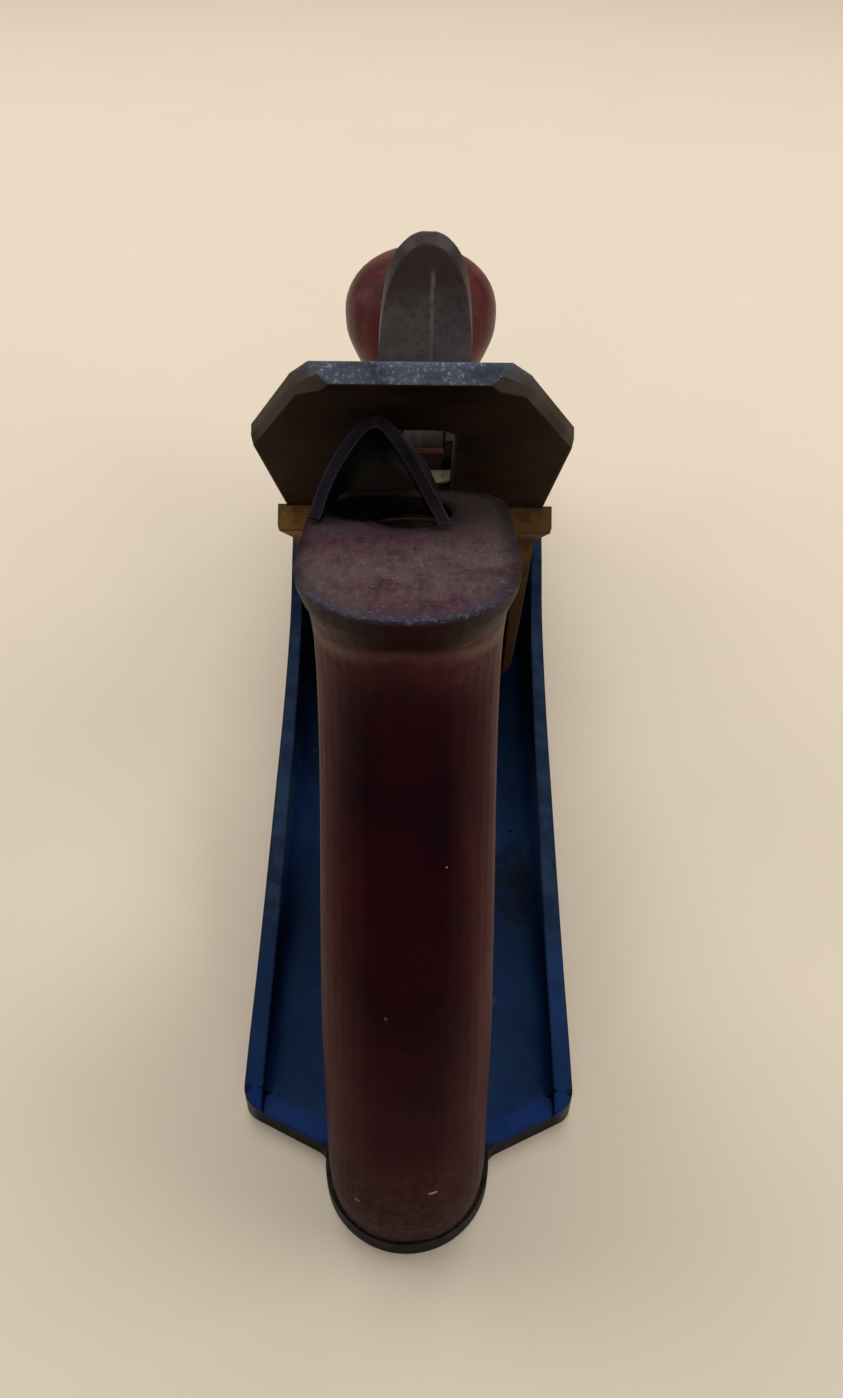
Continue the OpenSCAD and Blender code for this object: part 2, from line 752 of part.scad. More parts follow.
// Outer line of the folded finger piece: a round ridge between a short bowed leg on
// the left and a longer straight one, as shares of its width and depth
finger_line = [for (q = curve([[-0.455, 0.92], [-0.385, 0.63], [-0.28, 0.35], [-0.115, 0.06], [0, 0],
    [0.115, 0.06], [0.285, 0.36], [0.42, 0.68], [0.55, 1]], 4)) [q[0] * finger_w, finger_n + q[1] * finger_h]];

module lateral_lever() {
    color("dimgray") difference() {
        at_lever() {
            // Flat arm behind the iron
            translate([0, 0, lever_n]) linear_extrude(lever_t) polygon(both_sides([
                [2.2, finger_s0 + 9], [3, finger_s0 + 4], [lever_w / 2 - 1.4, finger_s0 - 6],
                [lever_w / 2, rivet_s + 2], [lever_w / 2, rivet_s - 3], [4.6, disc_s - 1],
                [3.4, arm_s0 + 0.8], [1.6, arm_s0]]));
            // Folded finger piece
            intersection() {
                rotate([-90, 0, 0]) translate([0, 0, finger_s0]) mirror([0, 1, 0])
                    linear_extrude(finger_l) polygon(concat(finger_line, turned(beside(finger_line, lever_t))));
                bed_profile([
                    [finger_s0, finger_n - 1], [finger_top_s, finger_n - 1], [finger_top_s, foot_n + 0.1],
                    [finger_top_s - 1, foot_n - 0.8], [finger_top_s - 4, foot_n - 3.6],
                    [finger_s0 + 4, finger_n + lever_t]], finger_w + 4);
            }
        }
        on_bed() translate([0, rivet_s, 0]) post(rivet_d + 2 * run, -5, 10);
        at_lever() translate([0, disc_s, 0]) post(disc_pin_d, -5, 10);
    }
}

module lateral_rivet() {
    color("gray") on_bed() translate([0, rivet_s, 0]) {
        post(rivet_d, lever_n - slip - eps, plate_t + 0.8);
        post(8, lever_n - slip - rivet_head_h, lever_n - slip);
        post(7, plate_t, plate_t + 1);
    }
}

module lateral_disc() {
    color("silver") at_lever() translate([0, disc_s, 0]) {
        post(disc_d, 0.4 - iron_t, lever_n);
        post(disc_pin_d, lever_n - eps, lever_n + lever_t);
    }
}

// Double iron

edge_s = edge_up / sin(bed_a) - iron_t / tan(bed_a);
bevel_a = 25;
bevel_l = iron_t / tan(bevel_a);
key_s = 39;
key_hole_d = 14.6;

module slot_plan(w, s0, s1) {
    translate([0, s0]) circle(d = w);
    translate([0, s1 - w / 2]) circle(d = w);
    translate([-w / 2, s0]) square([w, s1 - w / 2 - s0]);
}

slot_round = 3;

// Right side of the outline of the iron, from its top downwards
iron_side = [[iron_top_w / 2, iron_top_s], [iron_top_w / 2 + 3.7, iron_top_s - 4.5],
    [iron_w / 2, shoulder_s], [iron_w / 2, -iron_t * 3]];

module iron_plan() {
    difference() {
        polygon(both_sides(concat([[0, iron_top_s]], iron_side)));
        translate([-slot_w / 2, key_s]) square([slot_w, slot_top_s - slot_round - key_s]);
        translate([slot_round - slot_w / 2, key_s]) square([slot_w - 2 * slot_round, slot_top_s - key_s]);
        for (k = [-1, 1])
            translate([k * (slot_w / 2 - slot_round), slot_top_s - slot_round]) circle(slot_round);
        translate([0, key_s]) circle(d = key_hole_d);
    }
}

// Cutter that takes the back corner off the right side of the iron between two points
module rim_cut(low, high) {
    d = high - low;
    translate([low[0], low[1], -iron_rim]) rotate([0, 0, atan2(d[1], d[0])]) rotate([45, 0, 0])
        translate([-6, -1, 0]) cube([norm(d) + 12, 8, 8]);
}

module iron() {
    head = iron_head_t - iron_t;
    color("slategray") on_bed() difference() {
        intersection() {
            translate([0, 0, -iron_head_t - 1]) linear_extrude(iron_head_t + 2) iron_plan();
            bed_profile([
                [edge_s, -iron_t], [edge_s + bevel_l, 0], [iron_top_s - 5, 0],
                [iron_top_s - 1.6, head * 0.5], [iron_top_s, head * 0.3], [iron_top_s, -iron_t],
                [iron_top_s - 1.4, -iron_t - head * 0.5], [iron_top_s - 5, -iron_t]], iron_w + 2);
        }
        for (k = [0, 1]) mirror([k, 0, 0]) {
            rim_cut(iron_side[1], iron_side[0]);
            rim_cut(iron_side[2], iron_side[1]);
        }
    }
}

cap_n = -iron_t - slip;
cap_edge_s = edge_s + 1.2;
hump_s = 9;
hump_end_s = 24;
yoke_slot = 4.1;

// Outer line of the cap iron from its edge over the hump to the flat
hump_line = curve([[cap_edge_s, cap_n - 0.3], [cap_edge_s + 3, cap_n - hump_h * 0.55],
    [hump_s, cap_n - hump_h], [hump_s + 7, cap_n - hump_h * 0.8], [hump_end_s, cap_n - cap_iron_t]], 5);
hollow_line = curve([[cap_edge_s + 0.9, cap_n], [cap_edge_s + 4.6, cap_n - hump_h * 0.3],
    [hump_s + 1.5, cap_n - hump_h + cap_iron_t], [hump_s + 6, cap_n - hump_h * 0.8 + cap_iron_t],
    [hump_end_s - 1, cap_n]], 5);

module cap_iron() {
    cap_w = iron_w - 0.6;
    color("gray") on_bed() difference() {
        intersection() {
            translate([0, 0, cap_n - hump_h - 1]) linear_extrude(hump_h + 2) polygon(both_sides(concat(
                [[0, cap_iron_top_s]], arc([cap_w / 2 - 8, cap_iron_top_s - 8], 8, 90, 0, 6),
                [[cap_w / 2, cap_edge_s - 1]])));
            bed_profile(concat(hump_line, [[cap_iron_top_s + 1, cap_n - cap_iron_t],
                [cap_iron_top_s + 1, cap_n]], turned(hollow_line)), iron_w + 2);
        }
        // Window for the nose of the yoke
        block(11, yoke_s - yoke_slot / 2, yoke_s + yoke_slot / 2, cap_n - 6, cap_n + 1);
        // Thread of the cap iron screw
        translate([0, iron_screw_s, 0]) post(iron_screw_d, cap_n - 6, cap_n + 1);
        // Passage of the lever cap screw
        translate([0, 0, cap_n - 10]) linear_extrude(20)
            slot_plan(cap_head_d, cap_screw_s - 3, cap_screw_s + 3.5 + cap_head_d / 2);
    }
}

module cap_iron_screw() {
    color("dimgray") on_bed() translate([0, iron_screw_s, 0]) {
        post(iron_screw_d, cap_n - cap_iron_t, slip + eps);
        translate([0, 0, slip]) slotted_head(iron_head_d, iron_head_h, 1.6);
    }
}

// Lever cap and its cam

lip_s = 6.4;
lip_n = cap_n - hump_h - 0.15;
web_n = -13.6;
cam_s = 118;
hub_r = 5.2;
ear_out = 12.4;
leaf_t = 0.8;
leaf_n = cap_n - cap_iron_t - 0.15;

// The round of the cam stands off its pin, so that it lets go when it is lifted
cam_throw = 0.5;
cam_n = leaf_n - leaf_t - slip - cam_throw - hub_r;

// Cam spring, its rivet and the drop of the keyhole
spring_s0 = 92;
spring_rivet_s = 97;
spring_rivet_d = 2.6;
spring_rivet_n = web_n + 1.6;
rivet_boss_n = leaf_n - 3;
leaf_end_s = cam_s + 6;
key_drop = 9;

module at_lever_cap() {
    on_bed() translate([0, cap_screw_s, 0]) rotate([0, 0, -lever_cap_turn]) translate([0, -cap_screw_s, 0])
        children();
}

// Outer line of the lever cap from its lip to its top
cap_line = curve([[lip_s, lip_n - 1.2], [lip_s + 8, lip_n - 3.4], [30, web_n + 1.6], [55, web_n],
    [85, web_n - 0.4], [108, web_n - 0.2], [lever_cap_top_s, web_n + 3]], 5);

module lever_cap_plan() {
    w = lever_cap_w / 2;
    t = lever_cap_top_w / 2;
    polygon(both_sides(concat(
        [[0, lever_cap_top_s]], arc([t - 7, lever_cap_top_s - 7], 7, 90, 10, 6),
        curve([[t - 0.2, 96], [t - 1.6, 70], [t + 0.6, 44], [w - 0.4, 22]], 4),
        [[w, 14], [w, lip_s - 1]])));
}

module lever_cap_shell() {
    difference() {
        intersection() {
            translate([0, 0, -40]) linear_extrude(50) lever_cap_plan();
            bed_profile(concat(cap_line, [
                [lever_cap_top_s, leaf_n - 0.6], [104, leaf_n - 0.6], [96, leaf_n - 2.4],
                [lip_s + 17, leaf_n - 2.4], [lip_s + 5, lip_n], [lip_s, lip_n]]), 60);
        }
        // Hollow underside
        bed_profile([[20, leaf_n + 2], [20, lip_n - 1.6], [32, web_n + lever_cap_t + 1.6],
            [55, web_n + lever_cap_t], [lever_cap_top_s - 3, web_n + lever_cap_t],
            [lever_cap_top_s - 3, leaf_n + 2]], lever_cap_top_w - 10);
        // Keyhole for the lever cap screw
        translate([0, 0, -40]) linear_extrude(50) {
            translate([0, cap_screw_s - key_drop]) circle(d = cap_head_d + 1.2);
            slot_plan(cap_screw_d + 1, cap_screw_s - key_drop, cap_screw_s + cap_screw_d / 2 + 0.5);
        }
        // Fork for the cam lever
        block(cam_w + 2 * clear, cam_s - hub_r - 5.4, lever_cap_top_s + 5, -40, leaf_n + 3);
    }
}

// Bosses inside the hollow that carry the cam pin, and the boss of the spring
module lever_cap_bosses() {
    boss_w = ear_out - cam_hub_w / 2 - clear;
    for (k = [-1, 1]) translate([k * (ear_out - boss_w / 2), 0, 0])
        bed_profile([[cam_s - 6, web_n + 1], [cam_s + 4, web_n + 1],
            [cam_s + 4, cam_n + 4], [cam_s - 6, cam_n + 4]], boss_w);
    translate([0, spring_rivet_s, 0]) post(9, web_n + 1, rivet_boss_n);
}

// Bar along the cam pin, w long about the middle plane
module cam_axis(d, w) {
    translate([0, cam_s, cam_n]) bar_x(0, 0, d, w);
}

module lever_cap() {
    color("lightslategray") at_lever_cap() difference() {
        union() {
            lever_cap_shell();
            lever_cap_bosses();
        }
        cam_axis(cam_pin_d, 2 * ear_out);
        translate([0, spring_rivet_s, 0]) post(spring_rivet_d, spring_rivet_n, 0);
    }
}

module cam_pin() {
    color("gray") at_lever_cap() cam_axis(cam_pin_d, 2 * ear_out);
}

// Cam lever: a round hub with a thumb piece that curls away from the iron
tip_a = 22.8;
thumb_line = curve([[0, -4.6], [9, -5.6], [18, -9.4], [27, -13.6],
    [cam_l * cos(tip_a) + 0.6, -cam_l * sin(tip_a) - 0.9]], 5);
under_line = curve([[0, -1.4], [9, -2.6], [18, -6.2], [27, -10.4],
    [cam_l * cos(tip_a) + 0.8, -cam_l * sin(tip_a) + 1]], 5);

module cam_lever() {
    half = cam_w / 2;
    tip = cam_l * cos(tip_a) + 0.8;
    neck = hub_r + 2.4;
    color("dimgray") at_lever_cap() translate([0, cam_s, cam_n]) difference() {
        union() {
            bar_x(cam_throw, cam_throw, 2 * hub_r, cam_hub_w);
            intersection() {
                bed_profile(concat(thumb_line, turned(under_line)), cam_w);
                translate([0, 0, -40]) linear_extrude(60) polygon(both_sides(concat(
                    [[cam_hub_w / 2, -2], [cam_hub_w / 2, neck]],
                    curve([[half - 0.8, neck + 2.6], [half, neck + 6.6], [half - 0.3, 20],
                    [half - 1.3, tip - 8.6], [half - 2.7, tip - 4.2], [half - 4.2, tip - 1.6],
                    [half - 5.4, tip - 0.5], [0, tip + 0.2]], 4))));
            }
        }
        bar_x(0, 0, cam_pin_d + 2 * run, 2 * cam_w);
    }
}

module cap_spring() {
    color("silver") at_lever_cap() difference() {
        bed_profile(concat(
            [[spring_s0, rivet_boss_n + slip], [spring_rivet_s + 5, rivet_boss_n + slip],
            [cam_s - 9, leaf_n - leaf_t - 0.4], [cam_s - 3, leaf_n - leaf_t], [leaf_end_s, leaf_n - leaf_t]],
            [[leaf_end_s, leaf_n], [cam_s - 3, leaf_n], [cam_s - 9, leaf_n - 0.4],
            [spring_rivet_s + 5, rivet_boss_n + slip + leaf_t], [spring_s0, rivet_boss_n + slip + leaf_t]]),
            cam_hub_w);
        translate([0, spring_rivet_s, 0]) post(spring_rivet_d + 2 * run, -20, 0);
    }
}

module spring_rivet() {
    color("gray") at_lever_cap() translate([0, spring_rivet_s, 0]) {
        post(spring_rivet_d, spring_rivet_n, rivet_boss_n + slip + leaf_t + eps);
        post(5.6, rivet_boss_n + slip + leaf_t, rivet_boss_n + slip + leaf_t + 0.8);
    }
}

module lever_cap_screw() {
    head_n = web_n - slip;
    color("dimgray") on_bed() translate([0, cap_screw_s, 0]) {
        post(cap_screw_d, head_n - eps, 9);
        translate([0, 0, head_n]) mirror([0, 0, 1]) slotted_head(cap_head_d, 4, 1.5);
    }
}

// Tote

// Frame of the tote rod: Z runs down to up along the rod, from its foot
module tote_axis() {
    translate([0, tote_foot_y, heel_t]) rotate([-tote_lean, 0, 0]) children();
}

rod_l = (nut_top_z - heel_t) / cos(tote_lean);
nut_sink = 0.9;
arc_n = 20;
ring_n = 2 * (arc_n + 1);

// Stations of the tote: height, rear and front from the middle of the top facet,
// thickness as a share of the foot's, depth of the rear and of the front round,
// squareness of the front
tote_rise = (tote_h - heel_t) / 102.6;
tote_rows = [
    [0, -41.9, 41, 0.985, 12.2, 14, 3],
    [5, -42, 41, 1, 12.2, 14, 3],
    [10, -41.3, 35, 1, 12.2, 14, 2.8],
    [16, -39.8, 22, 1, 12.2, 14, 2.5],
    [24, -38.2, 11, 1, 12.4, 14, 2.3],
    [35, -36.2, 2.5, 1, 12.6, 14, 2.2],
    [47, -33, -1.5, 0.98, 12.8, 14, 2.2],
    [58, -28.4, -0.5, 0.965, 12.6, 14, 2.2],
    [69, -23.2, 4, 0.95, 12.4, 13, 2.2],
    [79, -18.8, 9.6, 0.945, 12.2, 12, 2.4],
    [87, -16.7, 13.4, 0.945, 12.2, 11, 2.8],
    [93.6, -16.6, 14.8, 0.955, 12.5, 10, 3.2],
    [98.6, -18, 14.8, 0.99, 12.9, 9.4, 3.6],
    [103.4, -21.2, 13.8, 1.045, 13.4, 9, 4],
    [110, -23.6, 12, 1.065, 13.6, 8, 4.4]];

function power(v, e) = sign(v) * pow(abs(v), 2 / e);

// Horizontal section: a round rear and a squarer front joined by straight sides
function tote_ring(r) =
    let (w = r[3] * tote_t / 2, z = heel_t + r[0] * tote_rise)
    concat(
        [for (i = [0 : arc_n]) let (a = 180 * i / arc_n)
            [w * power(cos(a), r[6]), facet_y + r[2] - r[5] * (1 - power(sin(a), r[6])), z]],
        [for (i = [0 : arc_n]) let (a = 180 * i / arc_n)
            [-w * power(cos(a), 2.1), facet_y + r[1] + r[4] * (1 - power(sin(a), 2.1)), z]]);

module tote_form() {
    rings = [for (r = curve(tote_rows, 3)) tote_ring(r)];
    n = len(rings);
    polyhedron(
        points = [for (r = rings) for (p = r) p],
        faces = concat(
            [[for (i = [0 : ring_n - 1]) i]],
            [for (k = [0 : n - 2]) for (i = [0 : ring_n - 1])
                [k * ring_n + i, (k + 1) * ring_n + i, k * ring_n + (i + 1) % ring_n]],
            [for (k = [0 : n - 2]) for (i = [0 : ring_n - 1])
                [k * ring_n + (i + 1) % ring_n, (k + 1) * ring_n + i, (k + 1) * ring_n + (i + 1) % ring_n]],
            [[for (i = [ring_n - 1 : -1 : 0]) (n - 1) * ring_n + i]]));
}

nut_h = 3;
nut_stem_d = 7.4;
nut_stem_l = 12;

module tote() {
    color("maroon") difference() {
        tote_form();
        // Top facet
        translate([0, facet_y, tote_h]) rotate([-tote_top_a, 0, 0])
            translate([-50, -60, 0]) cube([100, 120, 40]);
        tote_axis() {
            post(rod_d + 1, -10, rod_l + 20);
            post(nut_stem_d + 0.6, rod_l - nut_stem_l - 2, rod_l + 20);
            post(nut_d + 0.6, rod_l - nut_h - nut_sink, rod_l + 20);
        }
        // Recesses over the rod boss and the nib of the body
        translate([0, tote_foot_y, 0]) post(rod_boss_d + 1, 0, heel_t + rod_boss_h + 0.5);
        translate([0, tote_front_y - nib_back, 0]) long_hole(nib_d + 2 * clear, nib_l, 0, heel_t + nib_h + clear);
    }
}

// Round nut with a stem, its head from z = -h to 0
module round_nut(d, h, stem_l) {
    translate([0, 0, -h]) slotted_head(d, h, 1.8);
    post(nut_stem_d, -h - stem_l, -h + eps);
}

module tote_nut() {
    color("goldenrod") difference() {
        tote_axis() translate([0, 0, rod_l - nut_sink]) round_nut(nut_d, nut_h, nut_stem_l - nut_h);
        tote_axis() post(rod_d, rod_l - nut_stem_l - 10, rod_l - nut_h - nut_sink + 0.4);
    }
}

module tote_rod() {
    color("gray") tote_axis() post(rod_d, 0, rod_l - nut_h - nut_sink);
}

// Knob

module at_knob() {
    translate([0, mouth_y + knob_y, 0]) children();
}

knob_nut_z = knob_top - 0.6;

// Half outline of the knob from its seat to its top
module knob_outline() {
    r = knob_d / 2;
    b = knob_top - knob_mid;
    z0 = knob_pad_z + slip;
    neck_z = knob_mid - 27;
    polygon(concat(
        [[0, z0], [14.2, z0], [14.6, z0 + 1.2], [14.6, z0 + 4.4], [13.8, z0 + 5.6]],
        curve([[13.2, z0 + 6.4], [10.9, z0 + 14], [10, neck_z], [11.6, neck_z + 7],
            [r * 0.82, knob_mid - 12.4], [r * 0.975, knob_mid - 5.2], [r, knob_mid]], 5),
        [for (i = [1 : 12]) let (a = 90 * i / 12)
            [r * pow(cos(a), 0.94), knob_mid + b * pow(sin(a), 0.94)]],
        [[0, knob_top]]));
}

module knob() {
    color("maroon") at_knob() difference() {
        rotate_extrude($fn = 96) knob_outline();
        post(rod_d + 1, -1, knob_top + 5);
        post(rod_boss_d + 1, -1, knob_pad_z + rod_boss_h + 0.5);
        post(nut_stem_d + 0.6, knob_nut_z - nut_stem_l - 2, knob_top + 5);
        post(nut_d + 0.6, knob_nut_z - nut_h - 0.4, knob_top + 5);
    }
}

module knob_nut() {
    color("goldenrod") at_knob() difference() {
        translate([0, 0, knob_nut_z - 0.4]) round_nut(nut_d, nut_h, nut_stem_l - nut_h);
        post(rod_d, knob_nut_z - nut_stem_l - 10, knob_nut_z - nut_h);
    }
}

module knob_rod() {
    color("gray") at_knob() post(rod_d, sole_t - 1.4, knob_nut_z - nut_h - 0.6);
}

body();
frog();
frog_screws();
frog_washers();
frog_adjusting_screw();
frog_tab();
frog_tab_screw();
yoke();
yoke_pin();
adjusting_stud();
depth_hub();
depth_wheel();
lateral_lever();
lateral_rivet();
lateral_disc();
iron();
cap_iron();
cap_iron_screw();
lever_cap();
cam_lever();
cam_pin();
cap_spring();
spring_rivet();
lever_cap_screw();
tote();
tote_rod();
tote_nut();
knob();
knob_rod();
knob_nut();
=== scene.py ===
"""Looks of the smoothing plane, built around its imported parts.

The finishes are written in millimetres, in the plane's own frame: X to the right, Y toward
the toe and Z up. The paper, the lamps and the camera are in metres.
"""

import json
import math

import bpy
from mathutils import Matrix, Vector


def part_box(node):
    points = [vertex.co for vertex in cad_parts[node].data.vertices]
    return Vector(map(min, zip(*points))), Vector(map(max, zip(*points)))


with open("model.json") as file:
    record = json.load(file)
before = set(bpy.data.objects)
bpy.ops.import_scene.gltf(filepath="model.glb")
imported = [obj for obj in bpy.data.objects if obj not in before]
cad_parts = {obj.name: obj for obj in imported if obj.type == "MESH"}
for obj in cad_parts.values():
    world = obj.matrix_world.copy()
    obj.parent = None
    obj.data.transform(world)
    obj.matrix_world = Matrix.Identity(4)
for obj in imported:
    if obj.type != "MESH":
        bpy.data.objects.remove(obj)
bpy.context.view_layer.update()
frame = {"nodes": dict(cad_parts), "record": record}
nodes = frame["nodes"]

MM = 0.001

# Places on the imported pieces, in millimetres
BODY_LOW, BODY_HIGH = [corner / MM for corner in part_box("body")]
TOTE_LOW, TOTE_HIGH = [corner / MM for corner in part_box("tote")]
KNOB_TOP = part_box("knob")[1].z / MM
IRON_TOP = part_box("iron")[1].z / MM
CAM_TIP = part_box("cam_lever")[1].z / MM
CAP_IRON_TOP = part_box("cap_iron")[1].z / MM

TONGUE_LENGTH = 22.6
HEEL_CORNER_Y = BODY_LOW.y + TONGUE_LENGTH
HEEL_SLANT = math.tan(math.radians(26.5))
BED_FOOT_Y = 50.6
DIAGONAL = math.sqrt(0.5)


# Shader maths

def srgb(red, green, blue):
    """Linear colour of an 8-bit display colour."""
    def linear(v):
        v /= 255
        return v / 12.92 if v <= 0.04045 else ((v + 0.055) / 1.055) ** 2.4
    return (linear(red), linear(green), linear(blue), 1.0)


class Value:
    """A number that changes over a surface. Sums and products add Math nodes."""

    def __init__(self, finish, socket):
        self.finish = finish
        self.socket = socket

    def maths(self, operation, first, second=0.0):
        return self.finish.node("ShaderNodeMath", {"operation": operation}, {0: first, 1: second})

    def __add__(self, other):
        return self.maths("ADD", self, other)

    def __radd__(self, other):
        return self.maths("ADD", other, self)

    def __sub__(self, other):
        return self.maths("SUBTRACT", self, other)

    def __rsub__(self, other):
        return self.maths("SUBTRACT", other, self)

    def __mul__(self, other):
        return self.maths("MULTIPLY", self, other)

    def __rmul__(self, other):
        return self.maths("MULTIPLY", other, self)

    def __abs__(self):
        return self.maths("ABSOLUTE", self)


class Finish:
    """A material whose nodes are added as its recipe is written."""

    def __init__(self, name):
        self.material = bpy.data.materials.new(name)
        self.material.use_nodes = True
        self.tree = self.material.node_tree
        self.shader = self.tree.nodes["Principled BSDF"]
        metres = self.node("ShaderNodeTexCoord", {}, {}, "Object")
        self.place = self.node("ShaderNodeVectorMath", {"operation": "SCALE"}, {0: metres, "Scale": 1 / MM})
        self.facing = self.node("ShaderNodeTexCoord", {}, {}, "Normal")

    def node(self, kind, settings, inputs, output=0):
        """Add a node, set it, feed its sockets, and return one of its outputs."""
        made = self.tree.nodes.new(kind)
        for key, value in settings.items():
            setattr(made, key, value)
        for key, value in inputs.items():
            self.feed(made.inputs[key], value)
        return Value(self, made.outputs[output])

    def feed(self, socket, value):
        if isinstance(value, Value):
            self.tree.links.new(value.socket, socket)
        else:
            socket.default_value = value

    def set(self, **inputs):
        """Feed the shader's sockets; a name's underscores stand for spaces."""
        for key, value in inputs.items():
            self.feed(self.shader.inputs[key.replace("_", " ")], value)

    # Fields over the surface

    def axis(self, name, vector=None):
        return self.node("ShaderNodeSeparateXYZ", {}, {0: vector or self.place}, name)

    def axes(self):
        """Millimetres along X, Y and Z."""
        return [self.axis(name) for name in "XYZ"]

    def stretched(self, x, y, z, turn=(0, 0, 0)):
        """Places squeezed by x, y and z along axes that lean by turn."""
        return self.node("ShaderNodeMapping", {"vector_type": "TEXTURE"}, {
            "Vector": self.place, "Scale": (1 / x, 1 / y, 1 / z), "Rotation": turn})

    def noise(self, size, detail=3.0, rough=0.55, twist=0.0, vector=None):
        """Soft noise whose patches are about size wide."""
        return self.node("ShaderNodeTexNoise", {}, {
            "Vector": vector or self.place, "Scale": 1 / size, "Detail": detail,
            "Roughness": rough, "Distortion": twist}, "Fac")

    def cells(self, size, feature="F1"):
        """How far the nearest of many scattered points is, as a share of their spacing, size."""
        return self.node("ShaderNodeTexVoronoi", {"feature": feature}, {
            "Vector": self.place, "Scale": 1 / size}, "Distance")

    def rise(self, value, low, high):
        """0 below low and 1 above high, smooth between them; falls where low is above high."""
        if low > high:
            return 1 - self.rise(value, high, low)
        return self.node("ShaderNodeMapRange", {"interpolation_type": "SMOOTHSTEP"}, {
            "Value": value, "From Min": low, "From Max": high})

    def rounded(self, width):
        """The surface's normal, with edges rounded to width."""
        return self.node("ShaderNodeBevel", {"samples": 4}, {"Radius": width * MM}, "Normal")

    def edge(self, width, low, high):
        """1 along outer and inner edges, 0 on open faces."""
        true = self.node("ShaderNodeNewGeometry", {}, {}, "Normal")
        dot = self.node("ShaderNodeVectorMath", {"operation": "DOT_PRODUCT"}, {
            0: self.rounded(width), 1: true}, "Value")
        return self.rise(1 - dot, low, high)

    def mix(self, factor, first, second):
        return self.node("ShaderNodeMix", {"data_type": "RGBA"}, {"Factor": factor, 6: first, 7: second}, 2)

    def most(self, first, *others):
        """The largest of several values at each point."""
        for other in others:
            first = self.node("ShaderNodeMath", {"operation": "MAXIMUM"}, {0: first, 1: other})
        return first

    def spot(self, centre, half):
        """1 inside an ellipsoid at centre with the half sizes given, 0 outside its ragged rim."""
        offset = self.node("ShaderNodeVectorMath", {"operation": "SUBTRACT"}, {0: self.place, 1: centre})
        scaled = self.node("ShaderNodeVectorMath", {"operation": "DIVIDE"}, {0: offset, 1: half})
        away = self.node("ShaderNodeVectorMath", {"operation": "LENGTH"}, {0: scaled}, "Value")
        return self.rise(away + self.noise(0.8) * 0.6, 1.35, 1.05)

    def bump(self, height, depth, width=0.0):
        """Relief of the given depth, over edges rounded to width."""
        inputs = {"Height": height, "Strength": 1.0, "Distance": depth * MM}
        if width:
            inputs["Normal"] = self.rounded(width)
        return self.node("ShaderNodeBump", {}, inputs, "Normal")


# Finishes of the castings

